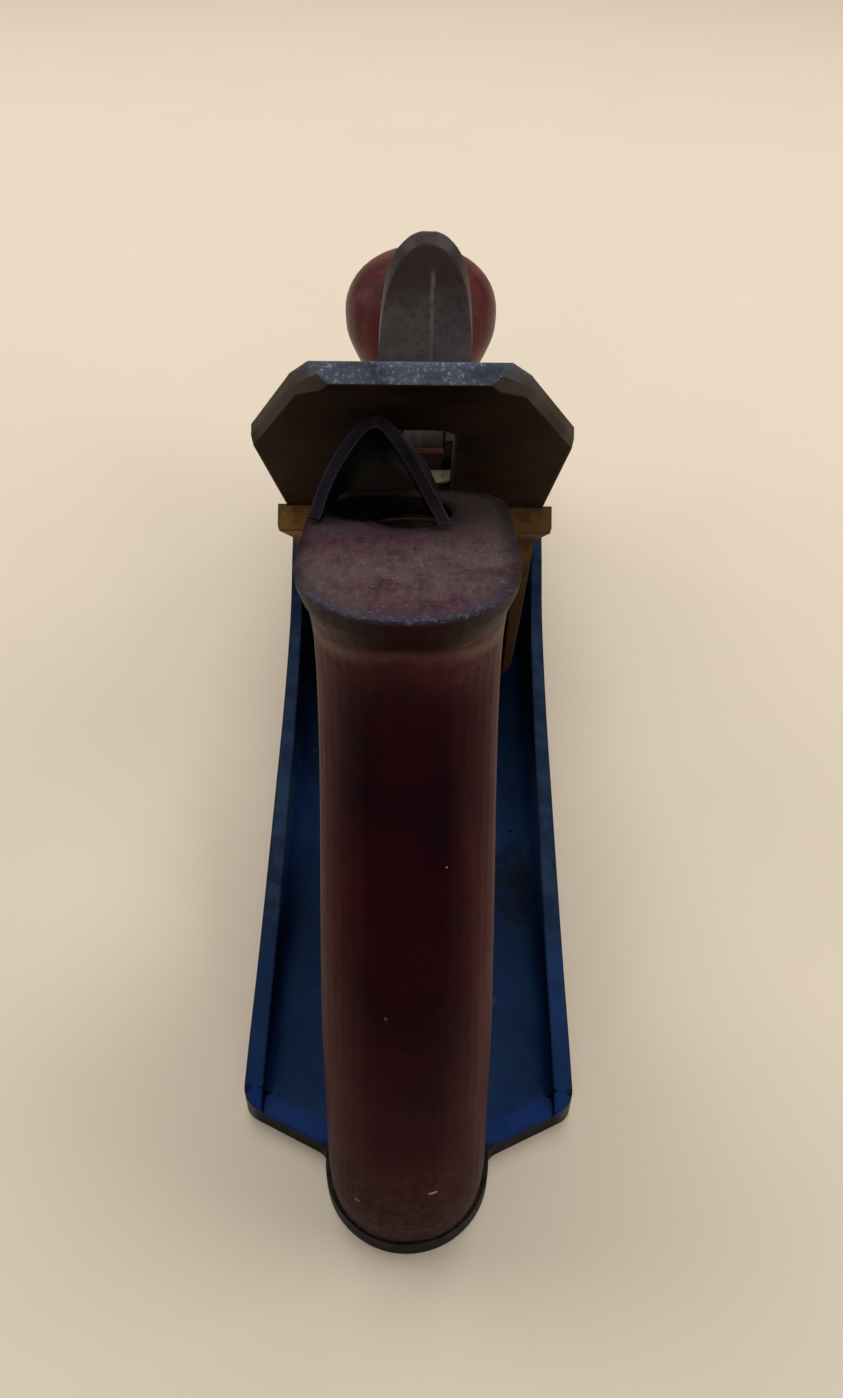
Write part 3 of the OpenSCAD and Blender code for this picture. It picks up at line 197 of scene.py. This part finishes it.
def casting_paint():
    """Blue paint over cast iron: dusty on the floor, bare where the casting is ground or rubbed."""
    f = Finish("casting_paint")
    x, y, z = f.axes()
    up = f.axis("Z", f.facing)
    outward = f.axis("X", f.facing) * f.node("ShaderNodeMath", {"operation": "SIGN"}, {0: x})
    clouds = f.noise(30, 4, 0.6)
    fine = f.noise(2.2, 4, 0.6)
    flecks = f.noise(4.5, 5, 0.62)
    blue = f.mix(f.rise(clouds, 0.35, 0.7), srgb(16, 40, 78), srgb(24, 54, 98))

    # Clean bright blue on the slope along the heel, slate blue on the side walls
    from_heel = y - HEEL_CORNER_Y + (BODY_HIGH.x - abs(x)) * HEEL_SLANT
    ramp = f.rise(from_heel + flecks - 0.5, 4.56, 3.76) * f.rise(up, 0.5, 0.9)
    ramp = ramp * f.rise(abs(x), BODY_HIGH.x - 1.2, BODY_HIGH.x - 1.8)
    blue = f.mix(ramp * 0.85, blue, srgb(14, 48, 110))
    wall = f.rise(z, 8.5, 11.5)
    blue = f.mix(wall * 0.7, blue, f.mix(f.rise(flecks, 0.42, 0.6), srgb(20, 34, 50), srgb(38, 54, 74)))

    # Dust, grime, stains, and painted shade in the low inner corners
    dust = f.rise(up, 0.6, 0.95) * f.rise(z, 8, 4.5) * f.rise(f.noise(12, 5, 0.6), 0.32, 0.62)
    dust = dust * (1 - ramp * 0.8)
    blue = f.mix(dust * 0.4, blue, srgb(40, 66, 96))
    pale = f.rise(f.cells(11), 0.16, 0.05) * f.rise(f.noise(2, 4, 0.6), 0.45, 0.65)
    blue = f.mix(pale * dust * 0.8, blue, srgb(92, 98, 96))
    grime = f.rise(f.noise(8, 5, 0.65), 0.54, 0.74)
    blue = f.mix(grime * 0.5, blue, srgb(12, 18, 30))
    dark_tone = f.spot((20.5, -50, 3.5), (4.5, 12, 3)) * f.rise(flecks, 0.4, 0.55)
    blue = f.mix(dark_tone * 0.6, blue, srgb(34, 28, 26))
    # Painted shade: edges and creases low in the casting, where the walls meet the floor, are darkened
    corner = f.edge(2.4, 0.02, 0.5) * f.rise(up, 0.2, 0.5) * f.rise(z, 9, 6)
    blue = f.mix(corner * 0.4, blue, srgb(10, 14, 22))

    # Where the iron is bare
    edge = f.edge(0.9, 0.03, 0.3)
    tongue = f.rise(y, BODY_LOW.y + 17.1, BODY_LOW.y + 15.6) * f.rise(abs(x), 14.5, 13.5)
    rubbed = f.rise(edge * 0.95 + flecks * 0.8 + wall * edge * 0.25, 0.92, 1.04)
    rubbed = f.most(rubbed, tongue)
    chips = f.rise(f.noise(6, 6, 0.7, 0.4), 0.665, 0.7)
    plate_edge = f.rise(up, 0.5, 0.3) * f.rise(z, 3.4, 3)
    side = f.rise(outward, 0.3, 0.6) * f.rise(abs(x), BODY_HIGH.x - 2.6, BODY_HIGH.x - 2.2)
    sole = f.rise(up, -0.9, -0.97)
    bare = f.most(rubbed, chips, plate_edge, side)

    # The iron, as cast and as ground
    iron = f.mix(f.rise(fine, 0.35, 0.65), srgb(15, 11, 12), srgb(38, 33, 34))
    rust = f.rise(f.noise(5, 6, 0.68, 0.3), 0.48, 0.64)
    iron = f.mix(rust * 0.5, iron, srgb(34, 20, 15))
    lines = f.noise(0.9, 2, 0.5, 0, f.stretched(30, 1, 1))
    ground = f.mix(lines, srgb(70, 66, 64), srgb(112, 108, 104))
    ground = f.mix(rust * 0.5, ground, srgb(64, 46, 36))

    relief = fine * 0.45 + f.noise(6, 3, 0.5) * 1.2 - f.most(rubbed, chips) * 0.7
    f.set(Base_Color=f.mix(sole, f.mix(bare, blue, f.mix(side * 0.6, iron, ground)), ground),
          Roughness=0.46 + fine * 0.14 + dust * 0.2 - ramp * 0.1,
          Metallic=f.most(bare * 0.25, sole * 0.7),
          Normal=f.bump(relief, 0.16, 0.6),
          Specular_IOR_Level=0.06)
    return f.material


def frog_paint():
    """Ochre paint on the frog, rubbed to dark iron on its face and edges, with painted shade low down."""
    f = Finish("frog_paint")
    x, y, z = f.axes()
    under_bed = (BED_FOOT_Y - (y + z)) * DIAGONAL
    fine = f.noise(2, 4, 0.6)
    clouds = f.noise(14, 5, 0.62)
    ochre = f.mix(f.rise(clouds, 0.3, 0.7), srgb(98, 66, 34), srgb(136, 98, 54))
    dark_tone = f.rise(f.noise(7, 6, 0.68), 0.48, 0.68)
    ochre = f.mix(dark_tone * 0.75, ochre, srgb(46, 30, 22))
    # Painted shade: darker toward the bottom, deep inside the body
    ochre = f.mix(f.rise(z, 70, 50) * 0.6, ochre, srgb(42, 26, 18))
    # Darker toward the right side
    ochre = f.mix(f.rise(x, 2, 20) * 0.45, ochre, srgb(44, 26, 16))
    rubbed = f.rise(f.edge(1.1, 0.03, 0.3) * 0.8 + f.noise(4, 5, 0.65) * 0.8, 0.84, 1.0)
    bare = f.most(rubbed, f.rise(under_bed, 0.4, 0.1))
    iron = f.mix(fine, srgb(40, 33, 29), srgb(78, 70, 62))
    f.set(Base_Color=f.mix(bare, ochre, iron),
          Roughness=0.45 + fine * 0.2,
          Metallic=bare * 0.3,
          Normal=f.bump(fine * 0.5 + f.noise(5, 3, 0.5) - bare * 0.6, 0.18, 0.6),
          Specular_IOR_Level=0.08)
    return f.material


# Finishes of the wood

def wood_grain(f, turn):
    """Slow warp, fine grain, pores and growth bands that run along the piece."""
    along = f.stretched(1, 1, 0.07, turn)
    warp = f.noise(30, 3, 0.5, 0, along)
    grain = f.noise(1.6, 5, 0.62, 0.8, along)
    pores = f.noise(0.6, 3, 0.6, 0.4, f.stretched(1, 1, 0.04, turn))
    bands = f.noise(7, 4, 0.5, 1.0, along)
    return warp, grain, pores, bands


def tote_wood():
    """Dark red stained wood on the tote, with painted shade down the middle of the grip's back, dusty and
    worn along its top.
    """
    f = Finish("tote_wood")
    x, y, z = f.axes()
    from_back = y - TOTE_LOW.y
    above_foot = z - TOTE_LOW.z
    below_top = TOTE_HIGH.z - z
    up = f.axis("Z", f.facing)
    warp, grain, pores, bands = wood_grain(f, (math.radians(-14), 0, 0))
    fine = f.noise(1.4, 4, 0.6)
    patches = f.noise(6, 6, 0.66)

    # Back of the grip and its foot, with painted shade darkening the middle of the back
    red = f.mix(f.rise(bands, 0.35, 0.65), srgb(58, 23, 24), srgb(72, 33, 32))
    red = f.mix(f.rise(grain, 0.45, 0.7) * 0.3, red, srgb(44, 14, 18))
    # Painted shade: the middle of the grip's back is mixed to the near-black colour below, and its sides
    # stay lighter
    back_shade = f.rise(abs(x), 13, 3.5) * f.rise(above_foot, 8.4, 26.4) * f.rise(below_top, 5.3, 20.3)
    dark_tone = f.mix(f.rise(f.noise(22, 5, 0.6), 0.36, 0.64), srgb(40, 2, 10), srgb(15, 1, 11))
    red = f.mix(back_shade * (0.92 + warp * 0.2), red, dark_tone)
    foot = f.rise(above_foot + patches * 16, 32.4, 12.4)
    red = f.mix(foot * 0.7, red, f.mix(f.rise(fine, 0.4, 0.64), srgb(34, 23, 22), srgb(56, 42, 38)))
    red = f.mix(f.rise(pores, 0.6, 0.72) * 0.5, red, srgb(12, 4, 6))

    # Neck below the top: painted shade under the overhanging rim, with a pale arc where it flares, partly
    # painted highlight and partly wear
    # Painted shade on the down-facing neck just under the rim
    under = f.rise(below_top, 11.3, 5.3) * f.rise(up, 0.6, 0.3)
    red = f.mix(under * 0.85, red, srgb(20, 4, 4))
    from_arc = abs(8.1 - below_top + abs(x) * 0.34 + (f.noise(4, 4, 0.6) - 0.5) * 2)
    # The pale arc is partly a painted highlight along the ridge and partly wear; the rubs beside it are wear
    arc = f.rise(from_arc, 2.2, 0.2) * (0.25 + f.rise(abs(x), 4, 9) * 0.5)
    scuffs = f.noise(0.8, 4, 0.7, 0, f.stretched(0.3, 1, 1, (0, 0.5, 0)))
    rubs = f.rise(from_arc, 7, 1) * f.rise(x, 3, 8) * f.rise(scuffs, 0.42, 0.66)
    red = f.mix(f.most(arc, rubs * 0.5) * f.rise(up, 0.5, 0.2), red, srgb(92, 70, 60))

    # Top face: plum, greyer in front, with dust across its middle
    top = f.rise(up, 0.75, 0.93) * f.rise(below_top, 20.3, 14.3)
    streaks = f.noise(0.9, 4, 0.6, 0, f.stretched(1, 0.2, 1))
    plum = f.mix(f.rise(streaks, 0.35, 0.7), srgb(78, 46, 57), srgb(50, 28, 37))
    plum = f.mix(f.rise(from_back, 38.4, 46.4), plum, srgb(76, 64, 64))
    red = f.mix(top, red, plum)
    band = f.rise(abs(from_back - 37.4 - x * 0.25 + patches * 12), 14, 3)
    veil = band * f.rise(f.noise(5, 5, 0.65), 0.3, 0.62)
    specks = f.rise(f.noise(0.45, 4, 0.85), 0.48, 0.68)
    points = f.rise(f.noise(0.6, 2, 0.8), 0.62, 0.7) * (0.3 + band * 0.5)
    dust = top * f.most(veil * 0.25, (0.15 + veil * 0.75) * specks, points)
    red = f.mix(dust * 0.75, red, srgb(134, 130, 120))
    lever_shade = f.spot((-3.5, -70.5, 104), (9.4, 5, 20))
    red = f.mix(lever_shade * 0.95, red, srgb(4, 2, 2))

    # Rim of the top face: dark in front, pale and crumbling at the back
    edge = f.most(f.edge(3.8, 0.015, 0.12) * top, f.edge(1.2, 0.015, 0.12))
    rim = f.rise(edge + patches * 0.5, 0.52, 0.8) * f.rise(below_top, 13.3, 7.3)
    crumbs = f.rise(f.noise(0.6, 5, 0.7), 0.44, 0.66)
    pale_rim = f.rise(from_back, 30.4, 23.4)
    rim_colour = f.mix(pale_rim, srgb(34, 24, 34), srgb(62, 60, 74))
    red = f.mix(rim * 0.85, red, f.mix(crumbs * pale_rim, rim_colour, srgb(116, 122, 140)))

    # Worn edges, darker edges near the foot, and small chips
    worn = f.rise(f.edge(1.4, 0.02, 0.3) * 0.6 + patches * 0.9, 0.88, 1.0) * f.rise(below_top, 14.3, 20.3)
    red = f.mix(worn * 0.5, red, srgb(92, 66, 58))
    # Edges near the foot are darker
    low_edge = f.rise(f.edge(1.4, 0.02, 0.3) + patches * 0.3, 0.4, 0.8) * f.rise(above_foot, 8.4, 3.4)
    red = f.mix(low_edge * 0.8, red, srgb(16, 10, 12))
    chips = f.most(f.spot((-7.3, -117.7, 12.7), (0.5, 1, 0.3)) * 0.5,
                   f.spot((4.1, -118.3, 16.8), (0.8, 1, 0.3)),
                   f.spot((5.1, -101, 71.2), (0.16, 1, 0.16)),
                   f.spot((-2.6, -110.7, 51.6), (0.25, 1, 0.25)) * 0.3)
    red = f.mix(chips, red, srgb(176, 112, 86))

    relief = grain * 0.35 + pores * 0.3 + f.noise(10, 3, 0.5) * 1.2
    relief = relief + rim * crumbs * 1.6 + dust * fine * 0.8 - chips
    f.set(Base_Color=red,
          Roughness=0.4 + patches * 0.16 + dust * 0.25 + rim * 0.1 - back_shade * 0.08,
          Normal=f.bump(relief, 0.16, 0.8),
          Specular_IOR_Level=0.04)
    return f.material


def knob_wood():
    """Red varnish on the turned knob, worn orange low on its sides."""
    f = Finish("knob_wood")
    below_top = KNOB_TOP - f.axis("Z")
    warp, grain, pores, bands = wood_grain(f, (0, 0, 0))
    patches = f.noise(7, 6, 0.66)
    red = f.mix(f.rise(bands, 0.38, 0.62), srgb(66, 22, 26), srgb(90, 38, 38))
    orange = f.rise(below_top - patches * 12, 5, 22)
    red = f.mix(orange * 0.8, red, srgb(86, 36, 16))
    red = f.mix(f.rise(grain, 0.45, 0.7) * 0.55, red, srgb(62, 20, 22))
    red = f.mix(f.rise(pores, 0.6, 0.72) * 0.5, red, srgb(28, 10, 10))
    # Darker toward the foot
    red = f.mix(f.rise(below_top, 37, 65) * 0.6, red, srgb(36, 18, 18))
    worn = f.rise(f.edge(1.4, 0.03, 0.3) * 0.6 + patches * 0.9, 0.84, 1.0)
    red = f.mix(worn * 0.5, red, srgb(120, 84, 70))
    chips = f.rise(f.noise(7, 6, 0.7, 0.3), 0.68, 0.7)
    red = f.mix(chips, red, srgb(34, 18, 16))
    f.set(Base_Color=red,
          Roughness=0.3 + patches * 0.14 + worn * 0.15,
          Normal=f.bump(grain * 0.35 + pores * 0.25 + warp * 0.8 - chips * 1.5, 0.13, 0.6),
          Specular_IOR_Level=0.1)
    return f.material


# Finishes of the steel and the brass

def blade_steel():
    """Iron stained brown-black, its top end hammered and sparkling with painted glints, and its lower half
    bright steel.
    """
    f = Finish("blade_steel")
    x, y, z = f.axes()
    below_top = IRON_TOP - z
    up_bed = (z - y + BED_FOOT_Y) * DIAGONAL
    up = f.axis("Z", f.facing)
    patina = f.noise(12, 6, 0.62)
    fine = f.noise(1.6, 4, 0.62)
    colour = f.mix(f.rise(patina, 0.35, 0.68), srgb(16, 7, 5), srgb(38, 25, 17))
    rust = f.rise(f.noise(6, 6, 0.7, 0.3), 0.5, 0.66)
    colour = f.mix(rust * 0.6, colour, srgb(36, 17, 8))
    # Lighter toward the sides, darker down the middle
    outer = f.rise(abs(x), 9, 21)
    colour = f.mix(outer * 0.5, colour, srgb(52, 40, 30))
    lines = f.noise(0.7, 3, 0.6, 0.2, f.stretched(1, 30, 30))
    colour = f.mix(f.rise(lines, 0.55, 0.75) * 0.1, colour, srgb(64, 48, 38))
    colour = f.mix(f.edge(0.9, 0.03, 0.3) * 0.6, colour, srgb(92, 82, 76))
    flank = f.rise(abs(f.axis("X", f.facing)), 0.3, 0.55) * f.rise(below_top, 38.2, 23.2)
    colour = f.mix(flank * 0.7, colour, f.mix(f.rise(patina, 0.4, 0.62), srgb(66, 57, 50), srgb(84, 76, 68)))

    # Hammered top end, with painted glints of reflected light
    head = f.rise(up, 0.35, 0.5) * f.rise(below_top, 6.7, 5.2) * f.rise(abs(x), 15.2, 13.8)
    dents = f.cells(2.1, "SMOOTH_F1")
    # Painted glints: bright bluish specks of reflected light on the hammered end
    painted_glints = f.rise(f.noise(0.5, 4, 0.75), 0.5, 0.74)
    struck_with_glints = f.mix(painted_glints, srgb(86, 92, 106), srgb(164, 174, 190))
    struck_with_glints = f.mix(f.rise(f.noise(6, 4, 0.6), 0.46, 0.66) * 0.7, struck_with_glints, srgb(56, 58, 70))
    colour = f.mix(head, colour, struck_with_glints)

    # Bright lower half, from the cutting edge up the bed
    bright = f.rise(up_bed, 77.6, 76.6)
    colour = f.mix(bright, colour, f.mix(lines, srgb(96, 94, 92), srgb(150, 148, 144)))

    relief = fine * 0.4 + patina * 0.7 + lines * 0.25 + head * (dents * 4 + painted_glints * 0.8)
    f.set(Base_Color=colour,
          Roughness=0.56 + fine * 0.14 + rust * 0.1 - head * 0.2 - bright * 0.24,
          Metallic=f.most(head * 0.6, bright * 0.9),
          Normal=f.bump(relief, 0.13, 0.6),
          Specular_IOR_Level=0.02)
    return f.material


def cam_steel():
    """Cast cam lever, dark toward its tip, with a raised seam up the middle of its back."""
    f = Finish("cam_steel")
    below_tip = CAM_TIP - f.axis("Z")
    grit = f.noise(1.2, 5, 0.68)
    patina = f.noise(8, 5, 0.6)
    colour = f.mix(f.rise(patina, 0.35, 0.65), srgb(116, 108, 112), srgb(146, 138, 142))
    colour = f.mix(f.rise(below_tip, 17.1, 6.1) * 0.8, colour, srgb(60, 44, 42))
    colour = f.mix(f.rise(grit, 0.5, 0.66) * 0.35, colour, srgb(54, 46, 46))
    rust = f.rise(below_tip, 27.1, 33.1) * f.rise(f.noise(3, 5, 0.65), 0.3, 0.55)
    colour = f.mix(rust * 0.4, colour, srgb(96, 62, 36))
    edge = f.edge(0.7, 0.03, 0.3)
    colour = f.mix(edge * 0.35, colour, srgb(116, 108, 110))
    # Side and top faces darker, lighter just below the tip
    side = f.rise(f.axis("Y", f.facing), -0.62, -0.35)
    side_colour = f.mix(f.rise(below_tip, 3.6, 1.6), srgb(30, 25, 27), srgb(74, 67, 72))
    colour = f.mix(side * 0.85, colour, side_colour)
    from_middle = f.axis("X") - 2.74 + below_tip * 0.02
    seam = f.rise(abs(from_middle + (f.noise(4) - 0.5) * 0.6), 0.45, 0.1)
    seam = seam * f.rise(below_tip, 4.6, 7.1) * f.rise(below_tip, 26.1, 23.1)
    seam = seam * f.rise(f.noise(3, 4, 0.6), 0.3, 0.5)
    colour = f.mix(seam * 0.6, colour, srgb(168, 158, 158))
    f.set(Base_Color=colour,
          Roughness=0.46 + grit * 0.16,
          Metallic=0.1 + edge * 0.2,
          Normal=f.bump(grit * 0.7 + patina * 0.6 + seam * 1.2, 0.09, 0.5),
          Specular_IOR_Level=0.1)
    return f.material


def aged_steel(name, dark, light, rough=0.42, size=4, rust=0.35, metal=0.85, painted_reflection_from=None):
    """Steel with a patchy patina, rust specks and rubbed edges, and a painted cream reflection above a
    height.
    """
    f = Finish(name)
    patina = f.noise(size * 3, 6, 0.62)
    speck = f.noise(size * 0.5, 5, 0.65)
    colour = f.mix(f.rise(patina, 0.32, 0.68), dark, light)
    brown = f.rise(f.noise(size * 1.4, 6, 0.7, 0.3), 0.52, 0.66)
    colour = f.mix(brown * rust, colour, srgb(58, 36, 24))
    edge = f.edge(0.6, 0.03, 0.3)
    rubbed = [(tone + grey) / 2 for tone, grey in zip(light, srgb(150, 148, 146))]
    colour = f.mix(edge * 0.45, colour, rubbed)
    if painted_reflection_from:
        # Painted reflection: a cream tone of the pale paper above the given height, in place of metal
        cream = f.rise(f.axis("Z"), painted_reflection_from, painted_reflection_from + 0.6)
        colour = f.mix(cream * f.rise(speck, 0.3, 0.5), colour, srgb(232, 222, 196))
        metal = metal - cream * metal
    f.set(Base_Color=colour,
          Roughness=rough + speck * 0.16 + brown * 0.2 - edge * 0.1,
          Metallic=metal - brown * metal * 0.5,
          Normal=f.bump(speck * 0.6 + patina * 0.6, 0.06, 0.35),
          Specular_IOR_Level=0.25)
    return f.material


def folded_steel():
    """Dark folded strip of the lateral lever, with painted shade turning it black inside its fold."""
    f = Finish("folded_steel")
    patina = f.noise(10, 6, 0.62)
    speck = f.noise(2, 5, 0.65)
    colour = f.mix(f.rise(patina, 0.32, 0.68), srgb(20, 15, 20), srgb(38, 34, 44))
    brown = f.rise(f.noise(5.6, 6, 0.7, 0.3), 0.5, 0.66)
    colour = f.mix(brown * 0.35, colour, srgb(46, 26, 22))
    colour = f.mix(f.edge(0.6, 0.03, 0.3) * 0.45, colour, srgb(88, 84, 100))
    # Painted shade: down-facing surfaces inside the fold go nearly black
    inside = f.rise(f.axis("Z", f.facing), 0.12, -0.12)
    colour = f.mix(inside * 0.92, colour, srgb(5, 3, 3))
    f.set(Base_Color=colour,
          Roughness=0.42 + speck * 0.16 + inside * 0.3,
          Metallic=0.2 - inside * 0.2,
          Normal=f.bump(speck * 0.6 + patina * 0.6, 0.06, 0.35),
          Specular_IOR_Level=0.06)
    return f.material


def aged_brass():
    """Dull brass with patches of brown tarnish."""
    f = Finish("aged_brass")
    tarnish = f.rise(f.noise(6, 6, 0.62), 0.4, 0.66)
    fine = f.noise(1.2, 4, 0.6)
    colour = f.mix(tarnish * 0.75, srgb(168, 132, 66), srgb(66, 46, 26))
    colour = f.mix(f.edge(0.6, 0.03, 0.3) * 0.5, colour, srgb(206, 174, 104))
    f.set(Base_Color=colour,
          Roughness=0.32 + tarnish * 0.25 + fine * 0.1,
          Metallic=0.95 - tarnish * 0.3,
          Normal=f.bump(fine, 0.04, 0.35))
    return f.material


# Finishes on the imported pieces

slot_finishes = {
    "paint": casting_paint(),
    "frog_paint": frog_paint(),
    "blade": blade_steel(),
    # The cap iron's top end carries that painted cream reflection
    "cap_steel": aged_steel("cap_iron_steel", srgb(86, 80, 70), srgb(142, 134, 118), 0.34, 4, 0.4,
                            painted_reflection_from=CAP_IRON_TOP - 2.6),
    "lever_steel": aged_steel("lever_steel", srgb(30, 26, 33), srgb(64, 60, 74), 0.45, 4, 0.3, 0.25),
    "screw_steel": aged_steel("screw_steel", srgb(46, 42, 40), srgb(92, 88, 84), 0.4, 2, 0.4),
    "spring": aged_steel("spring_steel", srgb(58, 24, 10), srgb(86, 46, 24), 0.5, 4, 0.8, 0.3),
    "cap_plate": aged_steel("worn_plating", srgb(64, 60, 60), srgb(118, 114, 114), 0.3, 6, 0.35),
    "brass": aged_brass(),
}

# Pieces that don't share the finish of their slot
own_finishes = {
    "tote": tote_wood(),
    "knob": knob_wood(),
    "cam_lever": cam_steel(),
    "lateral_lever": folded_steel(),
    # Tarnished brass, darkened nearly to black as painted shade where the nut sits under the lateral lever
    "tote_nut": aged_steel("tarnish_and_shade_brass", srgb(24, 18, 11), srgb(52, 39, 20), 0.5, 3, 0.5, 0.3),
}

slots = {entry["node"]: entry["material_slot"] for entry in frame["record"]["subparts"]}
for name, piece in nodes.items():
    piece.data.materials.clear()
    piece.data.materials.append(own_finishes.get(name) or slot_finishes[slots[name]])


def soften(node, width):
    """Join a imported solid's triangles for shading and round its edges."""
    piece = nodes[node]
    weld = piece.modifiers.new("join", "WELD")
    weld.merge_threshold = 0.004 * MM
    bevel = piece.modifiers.new("edges", "BEVEL")
    bevel.limit_method = "ANGLE"
    bevel.angle_limit = math.radians(32)
    bevel.width = width * MM
    bevel.segments = 2
    bevel.use_clamp_overlap = True
    piece.modifiers.new("shading", "WEIGHTED_NORMAL")


edge_rounds = {"body": 0.5, "frog": 0.6, "iron": 0.5, "lever_cap": 0.5, "cam_lever": 0.5,
               "lateral_lever": 0.2, "yoke": 0.3, "cap_iron": 0.2, "frog_tab": 0.2,
               "depth_wheel": 0.2, "depth_hub": 0.2}
for name, width in edge_rounds.items():
    soften(name, width)


# Paper under and behind the plane

PAPER_SIZE = 4
BACKDROP_Y = 1.4


def paper():
    """Plain cream paper with a faint cloudiness."""
    f = Finish("floor_paper")
    clouds = f.noise(80, 4, 0.6)
    f.set(Base_Color=f.mix(clouds, srgb(228, 213, 192), srgb(234, 219, 198)),
          Roughness=0.9,
          Normal=f.bump(f.noise(1.5), 0.03),
          Specular_IOR_Level=0.1)
    return f.material


bpy.ops.object.select_all(action="DESELECT")
bpy.ops.mesh.primitive_plane_add(size=PAPER_SIZE, location=(0, 0, 0))
floor = bpy.context.object
floor.name = "floor"
floor.data.materials.append(paper())

bpy.ops.mesh.primitive_plane_add(size=PAPER_SIZE, location=(0, BACKDROP_Y, PAPER_SIZE / 2),
                                 rotation=(math.radians(90), 0, 0))
backdrop = bpy.context.object
backdrop.name = "backdrop"
backdrop.data.materials.append(floor.data.materials[0])


# Light

def lamp(name, place, target, width, height, power, colour):
    """A soft rectangle of light at place, turned to target."""
    light = bpy.data.lights.new(name, "AREA")
    light.shape = "RECTANGLE"
    light.size = width
    light.size_y = height
    light.energy = power
    light.color = colour
    holder = bpy.data.objects.new(name, light)
    bpy.context.collection.objects.link(holder)
    holder.location = place
    holder.rotation_euler = (Vector(target) - Vector(place)).to_track_quat("-Z", "Y").to_euler()


lamp("soft_overhead", (0, 0.55, 1.15), (0, 0, 0), 1.3, 0.9, 10, (0.97, 0.985, 1.0))
lamp("left_window", (-1.0, 0.3, 0.6), (0, 0, 0.05), 0.8, 0.8, 4, (1.0, 0.985, 0.96))
lamp("right_window", (1.0, -0.05, 0.6), (0, 0, 0.05), 0.8, 0.8, 5, (1.0, 0.98, 0.95))
lamp("rear_fill", (0, -1.1, 0.55), (0, 0, 0.06), 1.0, 0.6, 2.5, (1.0, 0.99, 0.98))

world = bpy.data.worlds.new("studio")
bpy.context.scene.world = world
world.use_nodes = True
surroundings = world.node_tree.nodes["Background"].inputs
surroundings["Color"].default_value = (0.9, 0.89, 0.87, 1)
surroundings["Strength"].default_value = 0.2


# Camera fitted to the photograph

PHOTO_HEIGHT_PIXELS = 1398
FOCAL_PIXELS = 1100
SENSOR = 36
CAMERA_PLACE = Vector((2.1, -188.4, 180.2)) * MM
PITCH = math.radians(42.6)
YAW = math.radians(-0.24)
ROLL = math.radians(0.45)

forward = Vector((math.sin(YAW) * math.cos(PITCH), math.cos(YAW) * math.cos(PITCH), -math.sin(PITCH)))
level_right = Vector((math.cos(YAW), -math.sin(YAW), 0))
level_down = forward.cross(level_right)
right = level_right * math.cos(ROLL) - level_down * math.sin(ROLL)
down = level_right * math.sin(ROLL) + level_down * math.cos(ROLL)
camera_data = bpy.data.cameras.new("camera")
camera_data.lens = FOCAL_PIXELS / PHOTO_HEIGHT_PIXELS * SENSOR
camera_data.sensor_width = SENSOR
camera_data.sensor_fit = "AUTO"
camera_data.clip_start = 0.01
camera = bpy.data.objects.new("camera", camera_data)
bpy.context.collection.objects.link(camera)
turn = Matrix((right, -down, -forward)).transposed().to_4x4()
camera.matrix_world = Matrix.Translation(CAMERA_PLACE) @ turn
bpy.context.scene.camera = camera
bpy.context.scene.view_settings.view_transform = "Standard"
